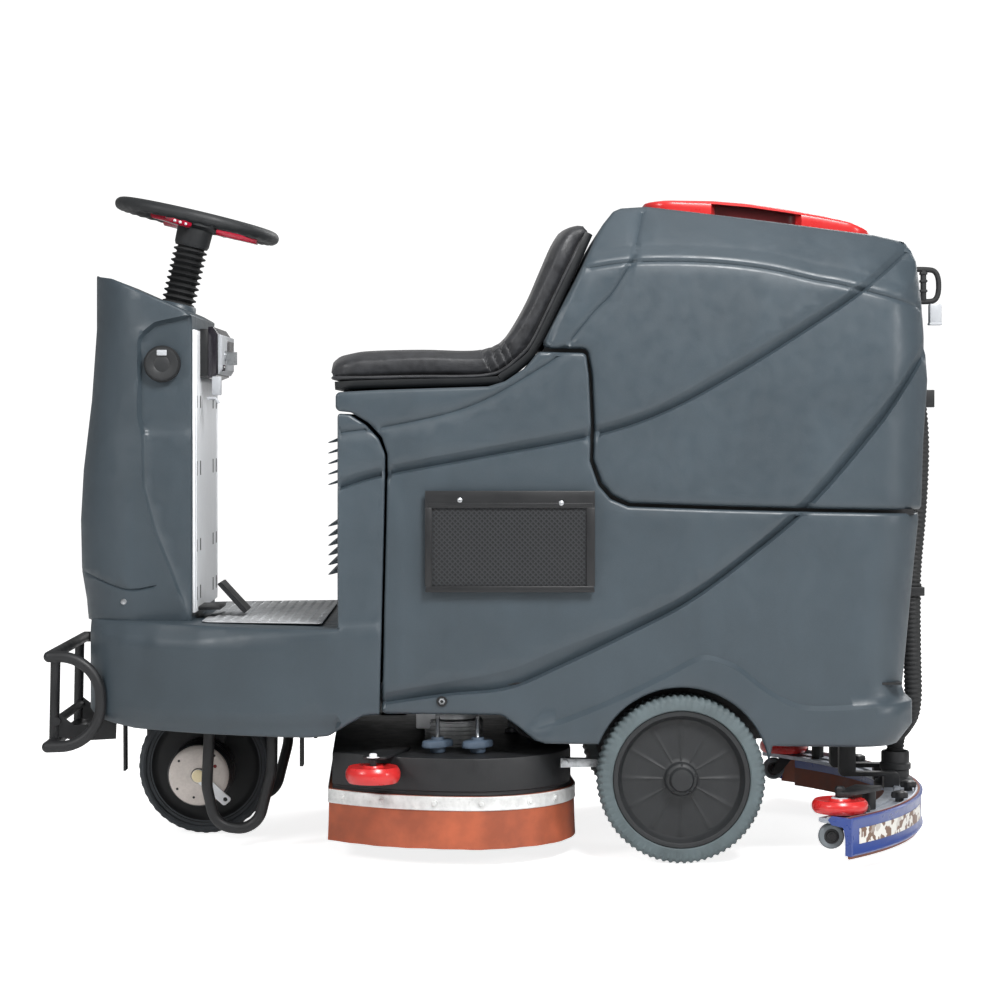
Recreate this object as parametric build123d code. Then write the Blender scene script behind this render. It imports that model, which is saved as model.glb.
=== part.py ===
from build123d import *
import math
import os

# Ride-on scrubber-dryer. Millimetres, +Z up, front towards -X, the machine's left side towards -Y.
# The origin lies on the floor, under the middle of the machine's length and width.

# ---- driving dimensions -------------------------------------------------------------------------
BODY_HALF = 360.0            # half width of the moulded body
WALL = 8.0                   # wall of the rotomoulded shells
SEAM = 3.0                   # gap between neighbouring mouldings
RUN = 0.05                   # radial clearance of a running fit

DECK_TOP = 409.0             # height of the foot platform
LEG_FRONT_X = -278.0         # front face of the seat pedestal
LEG_REAR_X = -205.0          # joint between foot moulding and solution tank
TANK_FLOOR_Z = 308.0         # underside of the solution tank's floor
TANK_REAR_X = 743.0          # rearmost point of the lower body
SEAM_Z = 606.0               # joint between solution tank and recovery tank

REAR_WHEEL_X = 317.0
REAR_WHEEL_R = 146.0
REAR_WHEEL_W = 70.0
REAR_RIM_R = 119.0
AXLE_R = 15.0

FORK_X = -539.0              # steering axis of the front drive wheel
DRIVE_WHEEL_R = 125.0
DRIVE_WHEEL_W = 75.0
DRIVE_RIM_R = 85.0
SPINDLE_R = 25.0

STEER_C = (-558.0, 0.0, 1138.0)      # centre of the steering wheel
STEER_TILT = 13.0                    # lean of the steering axis towards the driver, degrees
STEER_R = 142.5                      # steering wheel rim, to the middle of the grip
GRIP_R = 13.5
SHAFT_R = 10.0
UJOINT_Z = 700.0                     # lower end of the tilted shaft

SEAT_HALF = 230.0
SEAT_HINGE = (-272.0, 0.0, 823.0)
LID_HINGE_Y = 226.0

DECK_BOTTOM = 30.0           # lower edge of the deck's skirt, deck raised
BRUSH_R = 178.0
BRUSH_CENTRES = ((-78.0, -178.0), (-98.0, 178.0))

SQUEEGEE_R = 676.0           # outer radius of the squeegee's arc
SQUEEGEE_X = 104.0           # centre of that arc
SQUEEGEE_HALF_ANGLE = 44.0
SQUEEGEE_BOTTOM = 27.5

RAIL_Y = 200.0               # middle of each chassis rail
RAIL_W = 40.0
FRONT_RAIL_Z = 345.0
REAR_RAIL_Z = 265.0
RAIL_H = 40.0


# ---- helpers ------------------------------------------------------------------------------------
def block(x0, x1, y0, y1, z0, z1):
    """A box given by its limits."""
    return Pos((x0 + x1) / 2, (y0 + y1) / 2, (z0 + z1) / 2) * Box(x1 - x0, y1 - y0, z1 - z0)


def rod(radius, start, end):
    """A cylinder from one point to another."""
    axis = Vector(*end) - Vector(*start)
    centred = (Align.CENTER, Align.CENTER, Align.MIN)
    return Plane(origin=start, z_dir=axis) * Cylinder(radius, axis.length, align=centred)


def tube(radius, points, bends):
    """A round bar along straight runs joined by arcs."""
    path = FilletPolyline(*points, radius=bends)
    direction = Vector(*points[1]) - Vector(*points[0])
    section = Plane(origin=points[0], z_dir=direction) * Circle(radius)
    return sweep(section, path=path)


def outline(points, bends):
    """A face from corner points and one corner radius for each."""
    return make_face(FilletPolyline(*points, radius=bends, close=True))


def side_solid(face, y0, y1):
    """A face drawn in the XZ plane, made solid between two values of Y."""
    return extrude(Pos(0, y0, 0) * face, amount=y1 - y0, dir=(0, 1, 0))


def side_face(points, bends=0.0):
    """A face in the XZ plane from (x, z) corners."""
    radii = bends if isinstance(bends, (list, tuple)) else [bends] * len(points)
    flat = outline([(x, z) for x, z in points], radii)
    return Plane(origin=(0, 0, 0), x_dir=(1, 0, 0), z_dir=(0, -1, 0)) * flat


def plan_face(points, bends=0.0):
    """A face in the XY plane from (x, y) corners."""
    radii = bends if isinstance(bends, (list, tuple)) else [bends] * len(points)
    return outline(points, radii)


def cross_face(points, bends=0.0):
    """A face in the YZ plane from (y, z) corners."""
    radii = bends if isinstance(bends, (list, tuple)) else [bends] * len(points)
    flat = outline(points, radii)
    return Plane(origin=(0, 0, 0), x_dir=(0, 1, 0), z_dir=(1, 0, 0)) * flat


def mirrored(shape):
    """The same shape on the machine's other side."""
    return mirror(shape, about=Plane.XZ)


def group(*shapes):
    """Several separate solids in one node."""
    solids = []
    for shape in shapes:
        solids.extend(shape.solids())
    return Compound(children=solids)


# ---- moulded bodies -----------------------------------------------------------------------------
LID_FRONT, LID_REAR = (263, 1146), (665, 1096)       # ends of the flat slope under the lid
ARCH_R = REAR_WHEEL_R + 6.0  # wheel arch, touching the floor line

# The side view of each moulding, as (x, z) corners with a radius for each.
LOWER_SIDE = [
    (-283, 815), (-283, 781), (-202, 781), (-202, 259), (2, 257), (74, 207), (702, 202), (730, 236),
    (730, 276), (715, 296), (TANK_REAR_X, SEAM_Z - 2), (160, 622), (160, 884), (64, 884), (46, 858),
    (12, 832), (-17, 823),
]
LOWER_BENDS = [14, 1, 72, 5, 30, 30, 12, 8, 8, 8, 3, 60, 6, 6, 10, 16, 16]
UPPER_SIDE = [
    (82, 884 + SEAM * 3), (160 + SEAM, 884 + SEAM * 3), (160 + SEAM, 623 + SEAM), (750, SEAM_Z + SEAM),
    (761, 838), (740, 1062), (720, 1084), LID_REAR, LID_FRONT, (214, 1144), (184, 1108), (150, 1034),
]
UPPER_BENDS = [5, 3, 58, 4, 150, 10, 14, 30, 20, 20, 20, 20]
LOWER_PLAN_X = (-283, TANK_REAR_X)
UPPER_PLAN_X = (50, 762)
UPPER_SECTION = [(-357, 600), (357, 600), (357, 900), (341, 1035), (225, 1160), (-225, 1160),
                 (-341, 1035), (-357, 900)]
UPPER_SECTION_BENDS = [0.5, 0.5, 200, 60, 30, 30, 60, 200]


def body_plan(limits, rear_corner):
    """Plan of a body moulding, with its rear corners rounded."""
    front, rear = limits
    corners = [(front, -BODY_HALF), (rear, -BODY_HALF), (rear, BODY_HALF), (front, BODY_HALF)]
    return plan_face(corners, [30, rear_corner, rear_corner, 30])


def moulding(side, plan, section, shrink):
    """Side view, plan and cross-section brought together, each drawn in by the same amount."""
    if shrink:
        side = offset(side, amount=-shrink)
        plan = offset(plan, amount=-shrink)
        section = offset(section, amount=-shrink)
    body = side_solid(side, -BODY_HALF - 1, BODY_HALF + 1)
    body &= extrude(plan, amount=1400)
    return body & extrude(Pos(-900, 0, 0) * section, amount=1800, dir=(1, 0, 0))


def solution_tank():
    side = side_face(LOWER_SIDE, LOWER_BENDS)
    plan = body_plan(LOWER_PLAN_X, 100)
    section = cross_face([(-BODY_HALF, 100), (BODY_HALF, 100), (BODY_HALF, 900), (-BODY_HALF, 900)])
    body = moulding(side, plan, section, 0)
    hollow = moulding(side, plan, section, WALL)
    upper = hollow & block(-300, 800, -400, 400, TANK_FLOOR_Z + WALL, 1000)
    skirt = extrude(Pos(0, 0, 150) * offset(plan, amount=-WALL), amount=TANK_FLOOR_Z - 150)
    skirt &= block(LEG_REAR_X - 10, 690, -BODY_HALF, BODY_HALF, 150, TANK_FLOOR_Z)
    skirt += block(LEG_REAR_X - 10, 0, -BODY_HALF + WALL, BODY_HALF - WALL, 150, TANK_FLOOR_Z)
    seat_well = block(-260, 20, -215, 215, 700, 1000)
    rear_well = block(185, 690, -320, 320, 560, 1000)
    body -= upper + skirt + seat_well + rear_well
    body -= rod(ARCH_R, (REAR_WHEEL_X, -BODY_HALF - 1, ARCH_R), (REAR_WHEEL_X, BODY_HALF + 1, ARCH_R))
    bulkhead = block(164, 172, -BODY_HALF + WALL, BODY_HALF - WALL, TANK_FLOOR_Z + WALL, 590)
    return body + bulkhead


LID_X0, LID_X1, LID_HALF = 264.0, 670.0, 205.0
LID_PIN_R = 4.0
LID_PIN_RISE = 7.0           # height of the hinge line over the tank's top
MOUTH_X0, MOUTH_X1, MOUTH_HALF = 300.0, 632.0, 165.0


def top_z(x):
    """Height of the recovery tank's top at a place along its length."""
    slope = (LID_FRONT[1] - LID_REAR[1]) / (LID_REAR[0] - LID_FRONT[0])
    return LID_FRONT[1] - (x - LID_FRONT[0]) * slope


def lid_pin(x):
    """A point on the lid's hinge line."""
    return (x, LID_HINGE_Y, top_z(x) + LID_PIN_RISE)


def recovery_tank():
    side = side_face(UPPER_SIDE, UPPER_BENDS)
    plan = body_plan(UPPER_PLAN_X, 110)
    section = cross_face(UPPER_SECTION, UPPER_SECTION_BENDS)
    body = moulding(side, plan, section, 0) - moulding(side, plan, section, WALL)
    body -= block(MOUTH_X0, MOUTH_X1, -MOUTH_HALF, MOUTH_HALF, 1040, 1200)
    for x in (340.0, 590.0):
        lug = block(x - 12, x + 12, LID_HINGE_Y - 8, LID_HINGE_Y + 8, top_z(x) - 22, top_z(x) + 14)
        body += lug
    return body - rod(LID_PIN_R + RUN, lid_pin(MOUTH_X0), lid_pin(MOUTH_X1))


def tank_lid():
    """Lid over the tank's mouth, hinged on the machine's right side."""
    front, rear, wall = top_z(LID_X0), top_z(LID_X1), 8
    rim = [(LID_X0, front + 1), (LID_X1, rear + 1), (LID_X1, rear + 12), (LID_X1 - 30, rear + 19),
           (LID_X0 + 25, front + 19), (LID_X0, front + 12)]
    low_front, low_rear = top_z(LID_X0 + wall), top_z(LID_X1 - wall)
    under = [(LID_X0 + wall, low_front), (LID_X1 - wall, low_rear), (LID_X1 - wall, low_rear + wall),
             (LID_X0 + wall, low_front + wall)]
    lid = side_solid(side_face(rim), -LID_HALF, LID_HALF)
    lid -= side_solid(side_face(under), -LID_HALF + wall, LID_HALF - wall)
    lid -= block(387, 535, -LID_HALF - 1, -LID_HALF + 28, 1000, 1300)
    lid += rod(LID_PIN_R, lid_pin(MOUTH_X0 + 1), lid_pin(MOUTH_X1 - 1))
    for x in (365.0, 465.0, 565.0):
        lid += block(x - 9, x + 9, LID_HALF - 2, LID_HINGE_Y + 2, top_z(x) + 4, top_z(x) + 11)
    return lid


def platform_plan(shrink):
    """Half-outlines of the foot moulding, narrower and rounded at the front."""
    front = -738 + shrink
    y = BODY_HALF - 8 - shrink
    points = [
        (LEG_REAR_X, -y), (-330, -y), (-520, -318 + shrink), (-705, -196 + shrink), (front, -100),
        (front, 100), (-705, 196 - shrink), (-520, 318 - shrink), (-330, y), (LEG_REAR_X, y),
    ]
    return plan_face(points, [0, 150, 200, 40, 60, 60, 40, 200, 150, 0])


def footwell_body():
    """Foot platform and lower front of the seat pedestal, one moulding open underneath."""
    side = side_face(
        [
            (-738, 240), (-690, 229), (-643, 220), (-293, 216), (-250, 246), (-229, 257), (LEG_REAR_X, 258),
            (LEG_REAR_X, 778), (LEG_FRONT_X, 778), (LEG_FRONT_X, DECK_TOP), (-738, DECK_TOP),
        ],
        [10, 20, 40, 20, 20, 15, 4, 70, 3, 28, 12],
    )
    body = side_solid(side, -BODY_HALF, BODY_HALF) & extrude(platform_plan(0), amount=1000)
    inner = extrude(Pos(0, 0, 150) * platform_plan(WALL), amount=DECK_TOP - WALL - 150)
    inner &= block(-730, LEG_REAR_X + 1, -400, 400, 150, 500)
    leg_inner = block(LEG_FRONT_X + WALL, LEG_REAR_X + 1, -BODY_HALF + 16, BODY_HALF - 16, 380, 755)
    body -= inner + leg_inner
    spindle_hole = rod(40, (FORK_X, 0, 395), (FORK_X, 0, 415))
    pinion_hole = rod(26, (-655, 0, 395), (-655, 0, 415))
    post_holes = block(-694, -656, -100, 100, 395, 415)
    vent_holes = block(LEG_FRONT_X - 1, LEG_FRONT_X + WALL + 1, -200, 200, 480, 600)
    vent_holes += block(LEG_FRONT_X - 1, LEG_FRONT_X + WALL + 1, -200, 200, 640, 750)
    return body - spindle_hole - pinion_hole - post_holes - vent_holes


def leg_vent_grille():
    """Two louvred inserts in the pedestal's front."""
    parts = []
    for z0, z1 in ((480.0, 600.0), (640.0, 750.0)):
        frame = block(LEG_FRONT_X, LEG_FRONT_X + 6, -200, 200, z0, z1)
        frame -= block(LEG_FRONT_X - 1, LEG_FRONT_X + 7, -190, 190, z0 + 8, z1 - 8)
        count = round((z1 - z0 - 16) / 18)
        for i in range(count):
            z = z0 + 8 + (i + 0.5) * (z1 - z0 - 16) / count
            slat = side_face([(LEG_FRONT_X + 6, z - 3), (LEG_FRONT_X + 6, z + 7), (LEG_FRONT_X - 9, z - 1),
                              (LEG_FRONT_X - 9, z - 4)])
            frame += side_solid(slat, -191, 191)
        parts.append(frame)
    return group(*parts)


def floor_plate():
    """Aluminium tread plate on the foot platform."""
    rear = LEG_FRONT_X - 30
    plan = plan_face([(-524, -250), (rear, -290), (rear, 290), (-524, 250)], [20, 8, 8, 20])
    return extrude(Pos(0, 0, DECK_TOP) * plan, amount=3)


# ---- steering column ----------------------------------------------------------------------------
COLUMN_REAR_X = -545.0
COLUMN_HALF = 210.0
PANEL_X0, PANEL_X1 = COLUMN_REAR_X, -525.0
SOCKET_X, SOCKET_Z = -598.0, 867.0   # charging socket on the left side, stop button on the right
STOP_STEM_R, STOP_HEAD_R = 11.0, 20.0
FLAP_R = 29.5
KEY_Y, KEY_Z, KEY_R = -60.0, 885.0, 9.0
LOOSE = 1.0                  # clearance of a hole that only lets a piece through
COLUMN_SIDE = [
    (-744, DECK_TOP), (-759, 540), (-756, 676), (-740, 803), (-731, 931), (-731, 1032), (-640, 998),
    (COLUMN_REAR_X, 957), (COLUMN_REAR_X, DECK_TOP),
]
COLUMN_BENDS = [0, 300, 200, 300, 200, 6, 60, 8, 0]


def column_section(shrink):
    plan = [(-762 + shrink, -COLUMN_HALF + shrink), (COLUMN_REAR_X + 1, -COLUMN_HALF + shrink),
            (COLUMN_REAR_X + 1, COLUMN_HALF - shrink), (-762 + shrink, COLUMN_HALF - shrink)]
    return plan_face(plan, [120 - shrink, 0, 0, 120 - shrink])


def steer_point(distance):
    """A point on the steering axis, that far above the middle of the steering wheel."""
    lean = math.radians(STEER_TILT)
    return (STEER_C[0] + distance * math.sin(lean), 0.0, STEER_C[2] + distance * math.cos(lean))


def column_solid(shrink):
    side = side_face(COLUMN_SIDE, COLUMN_BENDS)
    if shrink:
        side = offset(side, amount=-shrink)
    body = side_solid(side, -COLUMN_HALF, COLUMN_HALF)
    return body & extrude(column_section(shrink), amount=1200)


def column_cover():
    wall = 6.0
    inner = column_solid(wall)
    inner += block(-738, COLUMN_REAR_X - 10, -120, 120, DECK_TOP - 1, DECK_TOP + 10)
    inner += block(-600, COLUMN_REAR_X + 1, -COLUMN_HALF + wall, COLUMN_HALF - wall, DECK_TOP - 1, 930)
    shaft_hole = rod(22, steer_point(-300), steer_point(-60))
    y0, y1 = COLUMN_HALF - 20, COLUMN_HALF + 5
    flap_hole = rod(FLAP_R - 3.5, (SOCKET_X, -y1, SOCKET_Z), (SOCKET_X, -y0, SOCKET_Z))
    stop_hole = rod(STOP_STEM_R + LOOSE, (SOCKET_X, y0, SOCKET_Z), (SOCKET_X, y1, SOCKET_Z))
    return column_solid(0) - inner - shaft_hole - flap_hole - stop_hole


def column_panel():
    """White sheet-metal panel that closes the column towards the driver."""
    panel = block(PANEL_X0, PANEL_X1, -195, 195, 422, 929)
    panel -= block(PANEL_X0 - 1, PANEL_X1 - 2, -187, 187, 414, 921)
    for z in (470.0, 560.0, 650.0, 740.0):
        for y in (-170.0, 170.0):
            panel -= block(PANEL_X1 - 10, PANEL_X1 + 1, y - 4, y + 4, z - 14, z - 2)
            panel -= block(PANEL_X1 - 10, PANEL_X1 + 1, y - 4, y + 4, z + 4, z + 16)
    return panel


def dash_pod():
    """Black control housing with its pale front plate."""
    case_face = side_face([(PANEL_X1, 842), (-510, 848), (-508, 925), (-516, 937), (PANEL_X1, 937)],
                          [1, 2, 3, 4, 1])
    plate_face = side_face([(-507.5, 848), (-500, 860), (-500, 922), (-507.5, 924)], [1, 2, 2, 1])
    key_hole = rod(KEY_R + LOOSE, (-515, KEY_Y, KEY_Z), (-490, KEY_Y, KEY_Z))
    case = side_solid(case_face, -120, 120) - key_hole
    plate = side_solid(plate_face, -116, 116) - key_hole
    return group(case, plate)


def key_switch():
    """Key with its barrel, turning about X."""
    barrel = rod(KEY_R, (-514.5, KEY_Y, KEY_Z), (-497, KEY_Y, KEY_Z))
    return barrel + block(-497, -478, KEY_Y - 2, KEY_Y + 2, KEY_Z - 17, KEY_Z + 7)


def emergency_stop():
    """Mushroom button on the column's right side."""
    seat, top = COLUMN_HALF + 12, COLUMN_HALF + 24
    stem = rod(STOP_STEM_R, (SOCKET_X, COLUMN_HALF - 18, SOCKET_Z), (SOCKET_X, seat, SOCKET_Z))
    head = rod(STOP_HEAD_R, (SOCKET_X, seat, SOCKET_Z), (SOCKET_X, top, SOCKET_Z))
    return stem + fillet(head.edges().sort_by(Axis.Y)[-1], 5)


def charge_flap():
    """Round cover of the charging socket, hinged at its lower edge."""
    disc = rod(FLAP_R, (SOCKET_X, -COLUMN_HALF - 0.5, SOCKET_Z), (SOCKET_X, -COLUMN_HALF - 4, SOCKET_Z))
    notch = block(SOCKET_X - 12, SOCKET_X + 12, -COLUMN_HALF - 5, -COLUMN_HALF, SOCKET_Z + 17, SOCKET_Z + 33)
    return disc - notch


def column_bellows():
    """Rubber bellows round the steering shaft; the pleats run round it."""
    sleeve = rod(30, steer_point(-170), steer_point(-50.5))
    return sleeve - rod(20, steer_point(-180), steer_point(-40)) - column_solid(0)


def steering_shaft():
    length = (STEER_C[2] - UJOINT_Z) / math.cos(math.radians(STEER_TILT))
    shaft = rod(SHAFT_R, steer_point(-length), steer_point(-50))
    joint = rod(16, steer_point(-length - 12), steer_point(-length + 14))
    return shaft + joint


def steering_wheel():
    plane = Plane(origin=STEER_C, z_dir=Vector(*steer_point(1)) - Vector(*STEER_C))
    rim = plane * Torus(STEER_R, GRIP_R)
    wheel = rim + rod(33, steer_point(-50), steer_point(-8)) + rod(42, steer_point(-8), steer_point(10))
    for angle in (90.0, 210.0, 330.0):
        arm = Pos(STEER_R / 2 + 8, 0, 1) * Box(STEER_R - 16, 34, 8)
        wheel += plane * (Rot(0, 0, angle + 90) * arm)
    return wheel - rod(SHAFT_R, steer_point(-60), steer_point(-50))


PINION_X = -655.0
CHAIN_Z0, CHAIN_Z1 = 386.0, 396.0
PINION_R = 18.0
SPROCKET_R = 36.0


def steering_pinion():
    """Short upright shaft below the universal joint, with the small sprocket."""
    shaft = rod(8, (PINION_X, 0, 347), (PINION_X, 0, 676)) + rod(14, (PINION_X, 0, 662), (PINION_X, 0, 676))
    sprocket = rod(PINION_R, (PINION_X, 0, CHAIN_Z0), (PINION_X, 0, CHAIN_Z1))
    return shaft + sprocket


def chain_loop(grow):
    """The belt-shaped area round both sprockets, grown outwards."""
    gap = FORK_X - PINION_X
    lean = math.asin((SPROCKET_R - PINION_R) / gap)
    big, small = SPROCKET_R + grow, PINION_R + grow
    sine, cosine = math.sin(lean), math.cos(lean)
    quad = [(FORK_X - big * sine, big * cosine), (PINION_X - small * sine, small * cosine),
            (PINION_X - small * sine, -small * cosine), (FORK_X - big * sine, -big * cosine)]
    web = make_face(Polyline(*quad, close=True))
    return web + Pos(FORK_X, 0) * Circle(big) + Pos(PINION_X, 0) * Circle(small)


def steering_chain():
    loop = chain_loop(6.0) - chain_loop(1.0)
    return extrude(Pos(0, 0, CHAIN_Z0 + 1) * loop, amount=CHAIN_Z1 - CHAIN_Z0 - 2)


def accelerator_pedal():
    """Foot pedal pivoting at its heel."""
    plate = side_face([(-458, 416), (-452, 422), (-500, 474), (-507, 470)], [2, 2, 2, 2])
    return side_solid(plate, -140, -60)


# ---- chassis ------------------------------------------------------------------------------------
def rear_axle_bracket():
    x, top = REAR_WHEEL_X, REAR_RAIL_Z + 1
    plate = side_face([(x - 34, top), (x - 24, 122), (x + 24, 122), (x + 34, top)], [1, 14, 14, 1])
    return side_solid(plate, -RAIL_Y - 10, -RAIL_Y + 2)


def chassis_frame():
    """Welded steel frame with head plate, column post and rear axle."""
    y0, y1 = RAIL_Y - RAIL_W / 2, RAIL_Y + RAIL_W / 2
    rail = block(-640, -215, -y1, -y0, FRONT_RAIL_Z, FRONT_RAIL_Z + RAIL_H)
    rail += block(-245, -213, -y1, -y0, REAR_RAIL_Z, FRONT_RAIL_Z + RAIL_H)
    rail += block(-245, 690, -y1, -y0, REAR_RAIL_Z, REAR_RAIL_Z + RAIL_H)
    rail += rear_axle_bracket()
    frame = rail + mirrored(rail)
    frame += block(-715, -685, -150, 150, FRONT_RAIL_Z, FRONT_RAIL_Z + RAIL_H)
    frame += block(-245, -215, -y0, y0, FRONT_RAIL_Z, FRONT_RAIL_Z + RAIL_H)
    for x in (176.0, 446.0, 655.0):
        frame += block(x, x + 30, -y0, y0, REAR_RAIL_Z, REAR_RAIL_Z + RAIL_H)
    frame += block(-690, -450, -y0, y0, FRONT_RAIL_Z, FRONT_RAIL_Z + 12)
    for y in (-80.0, 80.0):
        frame += block(-690, -660, y - 12, y + 12, FRONT_RAIL_Z + 12, 945)
    frame += block(-690, -560, -92, 92, 925, 935)
    frame += block(-690, -620, -92, 92, 732, 742)
    frame += rod(AXLE_R, (REAR_WHEEL_X, -353, REAR_WHEEL_R), (REAR_WHEEL_X, 353, REAR_WHEEL_R))
    frame -= rod(SHAFT_R + 5, steer_point(-500), steer_point(-60))
    frame -= rod(SPINDLE_R + RUN, (FORK_X, 0, 330), (FORK_X, 0, 380))
    return frame - rod(8 + RUN, (PINION_X, 0, 330), (PINION_X, 0, 380))


def front_bumper():
    """Tubular bumper with a loop on each side and brackets back to the frame."""
    y = 212.0
    top, bottom = (-799.0, 345.0), (-802.0, 184.0)
    frame = rod(10, (top[0], -y, top[1]), (top[0], y, top[1]))
    frame += rod(10, (bottom[0], -y, bottom[1]), (bottom[0], y, bottom[1]))
    frame += rod(8, (-797, -150, 222), (-797, 150, 222))
    for side in (-1, 1):
        bend_points = [top, (-707, 345), (-707, 187), bottom]
        loop = [(x, side * y, z) for x, z in bend_points]
        frame += tube(10, loop, [74, 74])
        for x, z in (top, bottom):
            frame += Pos(x, side * y, z) * Sphere(10)
        upright = rod(9, (top[0], side * 140, top[1]), (bottom[0], side * 140, bottom[1]))
        plate = side_face([(-802, 196), (-760, 186), (-690, 190), (-684, 344.9), (-712, 344.9), (-716, 218),
                           (-765, 214), (-797, 238)])
        frame += upright + side_solid(plate, side * 140 - 3, side * 140 + 3)
    return frame


def wheel_guards():
    """Tube hoops beside the drive wheel, with the splash flaps and the plate behind it."""
    top = FRONT_RAIL_Z - 0.5
    hoop = tube(10, [(-508, -RAIL_Y, top), (-519, -RAIL_Y, 112), (-503, -RAIL_Y, 42), (-430, -RAIL_Y, 34),
                     (-403, -RAIL_Y, 140), (-400, -RAIL_Y, top)], [60, 40, 42, 80])
    flap = side_solid(side_face([(-672, 345), (-668, 345), (-667, 137), (-671, 137)]), -180, -148)
    plate = block(-352, -346, -216, -184, 150, 345)
    return group(hoop, mirrored(hoop), flap, mirrored(flap), plate, mirrored(plate))


# ---- drive unit ---------------------------------------------------------------------------------
def drive_fork():
    """Yoke over the drive wheel with its spindle and the large sprocket."""
    fork = block(FORK_X - 60, FORK_X + 60, -56, 56, 264, 280)
    for side in (-1, 1):
        cheek = side_face([(FORK_X - 50, 270), (FORK_X - 28, 96), (FORK_X + 28, 96), (FORK_X + 50, 270)],
                          [1, 24, 24, 1])
        inner, outer = sorted((side * 44.0, side * 56.0))
        fork += side_solid(cheek, inner, outer)
    fork += rod(SPINDLE_R, (FORK_X, 0, 280), (FORK_X, 0, 398))
    fork += rod(48, (FORK_X, 0, 280), (FORK_X, 0, 344.5))
    fork += rod(SPROCKET_R, (FORK_X, 0, CHAIN_Z0), (FORK_X, 0, CHAIN_Z1))
    return fork + rod(12, (FORK_X, -56, DRIVE_WHEEL_R), (FORK_X, 56, DRIVE_WHEEL_R))


def drive_motor():
    """Hub motor on the fork's left cheek, with the round brake cover."""
    z = DRIVE_WHEEL_R
    case = rod(58, (FORK_X, -56, z), (FORK_X, -138, z))
    case += rod(50, (FORK_X, -138, z), (FORK_X, -142, z))
    cover = rod(54, (FORK_X, -142, z), (FORK_X, -156, z)) - rod(8, (FORK_X, -140, z), (FORK_X, -157, z))
    pivot = rod(7.95, (FORK_X, -142, z), (FORK_X, -156, z))
    return group(case, cover, pivot)


def brake_lever():
    """Release lever of the parking brake, pointing down and back."""
    y0, y1 = -161.0, -156.3
    hub = rod(12, (FORK_X, y1, DRIVE_WHEEL_R), (FORK_X, y0, DRIVE_WHEEL_R))
    tip = (FORK_X + 52, DRIVE_WHEEL_R - 46)
    root = [(FORK_X - 6, DRIVE_WHEEL_R - 7), (FORK_X + 8, DRIVE_WHEEL_R + 5)]
    arm = side_face(root + [(tip[0] + 9, tip[1] + 4), (tip[0] - 5, tip[1] - 8)], [2, 2, 5, 5])
    lever = hub + side_solid(arm, y0, y1)
    return lever - rod(4, (tip[0] - 3, y1 + 1, tip[1] + 4), (tip[0] - 3, y0 - 1, tip[1] + 4))


def tyre(centre, radius, inner, width):
    """A tyre lying along Y, with rounded shoulders."""
    x, y, z = centre
    ring = rod(radius, (x, y - width / 2, z), (x, y + width / 2, z))
    ring = fillet(ring.edges().filter_by(GeomType.CIRCLE), 9)
    return ring - rod(inner, (x, y - width / 2 - 1, z), (x, y + width / 2 + 1, z))


def drive_rim():
    half = DRIVE_WHEEL_W / 2
    disc = rod(DRIVE_RIM_R, (FORK_X, -half + 3, DRIVE_WHEEL_R), (FORK_X, half - 3, DRIVE_WHEEL_R))
    return disc - rod(12 + RUN, (FORK_X, -half, DRIVE_WHEEL_R), (FORK_X, half, DRIVE_WHEEL_R))


# ---- rear wheels --------------------------------------------------------------------------------
REAR_WHEEL_Y = BODY_HALF - REAR_WHEEL_W / 2


def rear_rim(side):
    """Disc rim with a sunk face, running on the axle, closed by a hub cap."""
    x, z = REAR_WHEEL_X, REAR_WHEEL_R
    middle = side * REAR_WHEEL_Y
    outer = middle + side * 31
    rim = rod(REAR_RIM_R, (x, middle - side * 31, z), (x, outer, z))
    rim -= rod(REAR_RIM_R - 11, (x, outer - side * 9, z), (x, outer + side, z))
    rim -= rod(REAR_RIM_R - 11, (x, middle - side * 32, z), (x, middle - side * 12, z))
    rim += rod(29, (x, middle - side * 31, z), (x, outer + side * 1, z))
    return rim - rod(AXLE_R + RUN, (x, middle - side * 34, z), (x, side * 353.5, z))


# ---- brush deck ---------------------------------------------------------------------------------
FAR_SHIFT = -20.0            # the right half of the deck sits further forward


def deck_outline(grow):
    """Plan of the brush deck, a straight front and two rounded ends."""
    near_front, near_side, near_rear = (-290, -285), (-30, -383), (131, -200)
    far_front, far_side, far_rear = (-290 + FAR_SHIFT, 285), (-30 + FAR_SHIFT, 383), (131 + FAR_SHIFT, 200)
    edges = [
        ThreePointArc(near_front, (-165, -361), near_side),
        ThreePointArc(near_side, (90, -316), near_rear),
        Line(near_rear, far_rear),
        ThreePointArc(far_rear, (90 + FAR_SHIFT, 316), far_side),
        ThreePointArc(far_side, (-165 + FAR_SHIFT, 361), far_front),
        Line(far_front, near_front),
    ]
    face = make_face(edges)
    return offset(face, amount=grow) if grow else face


SHELL_Z0, SHELL_Z1 = 92.0, 186.0
STRAP_Z0, STRAP_Z1 = 97.0, 121.0
ROLLERS = ((-214.0, -398.0), (-234.0, 398.0))
ROLLER_R, ROLLER_PIN_R = 47.0, 6.0


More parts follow.
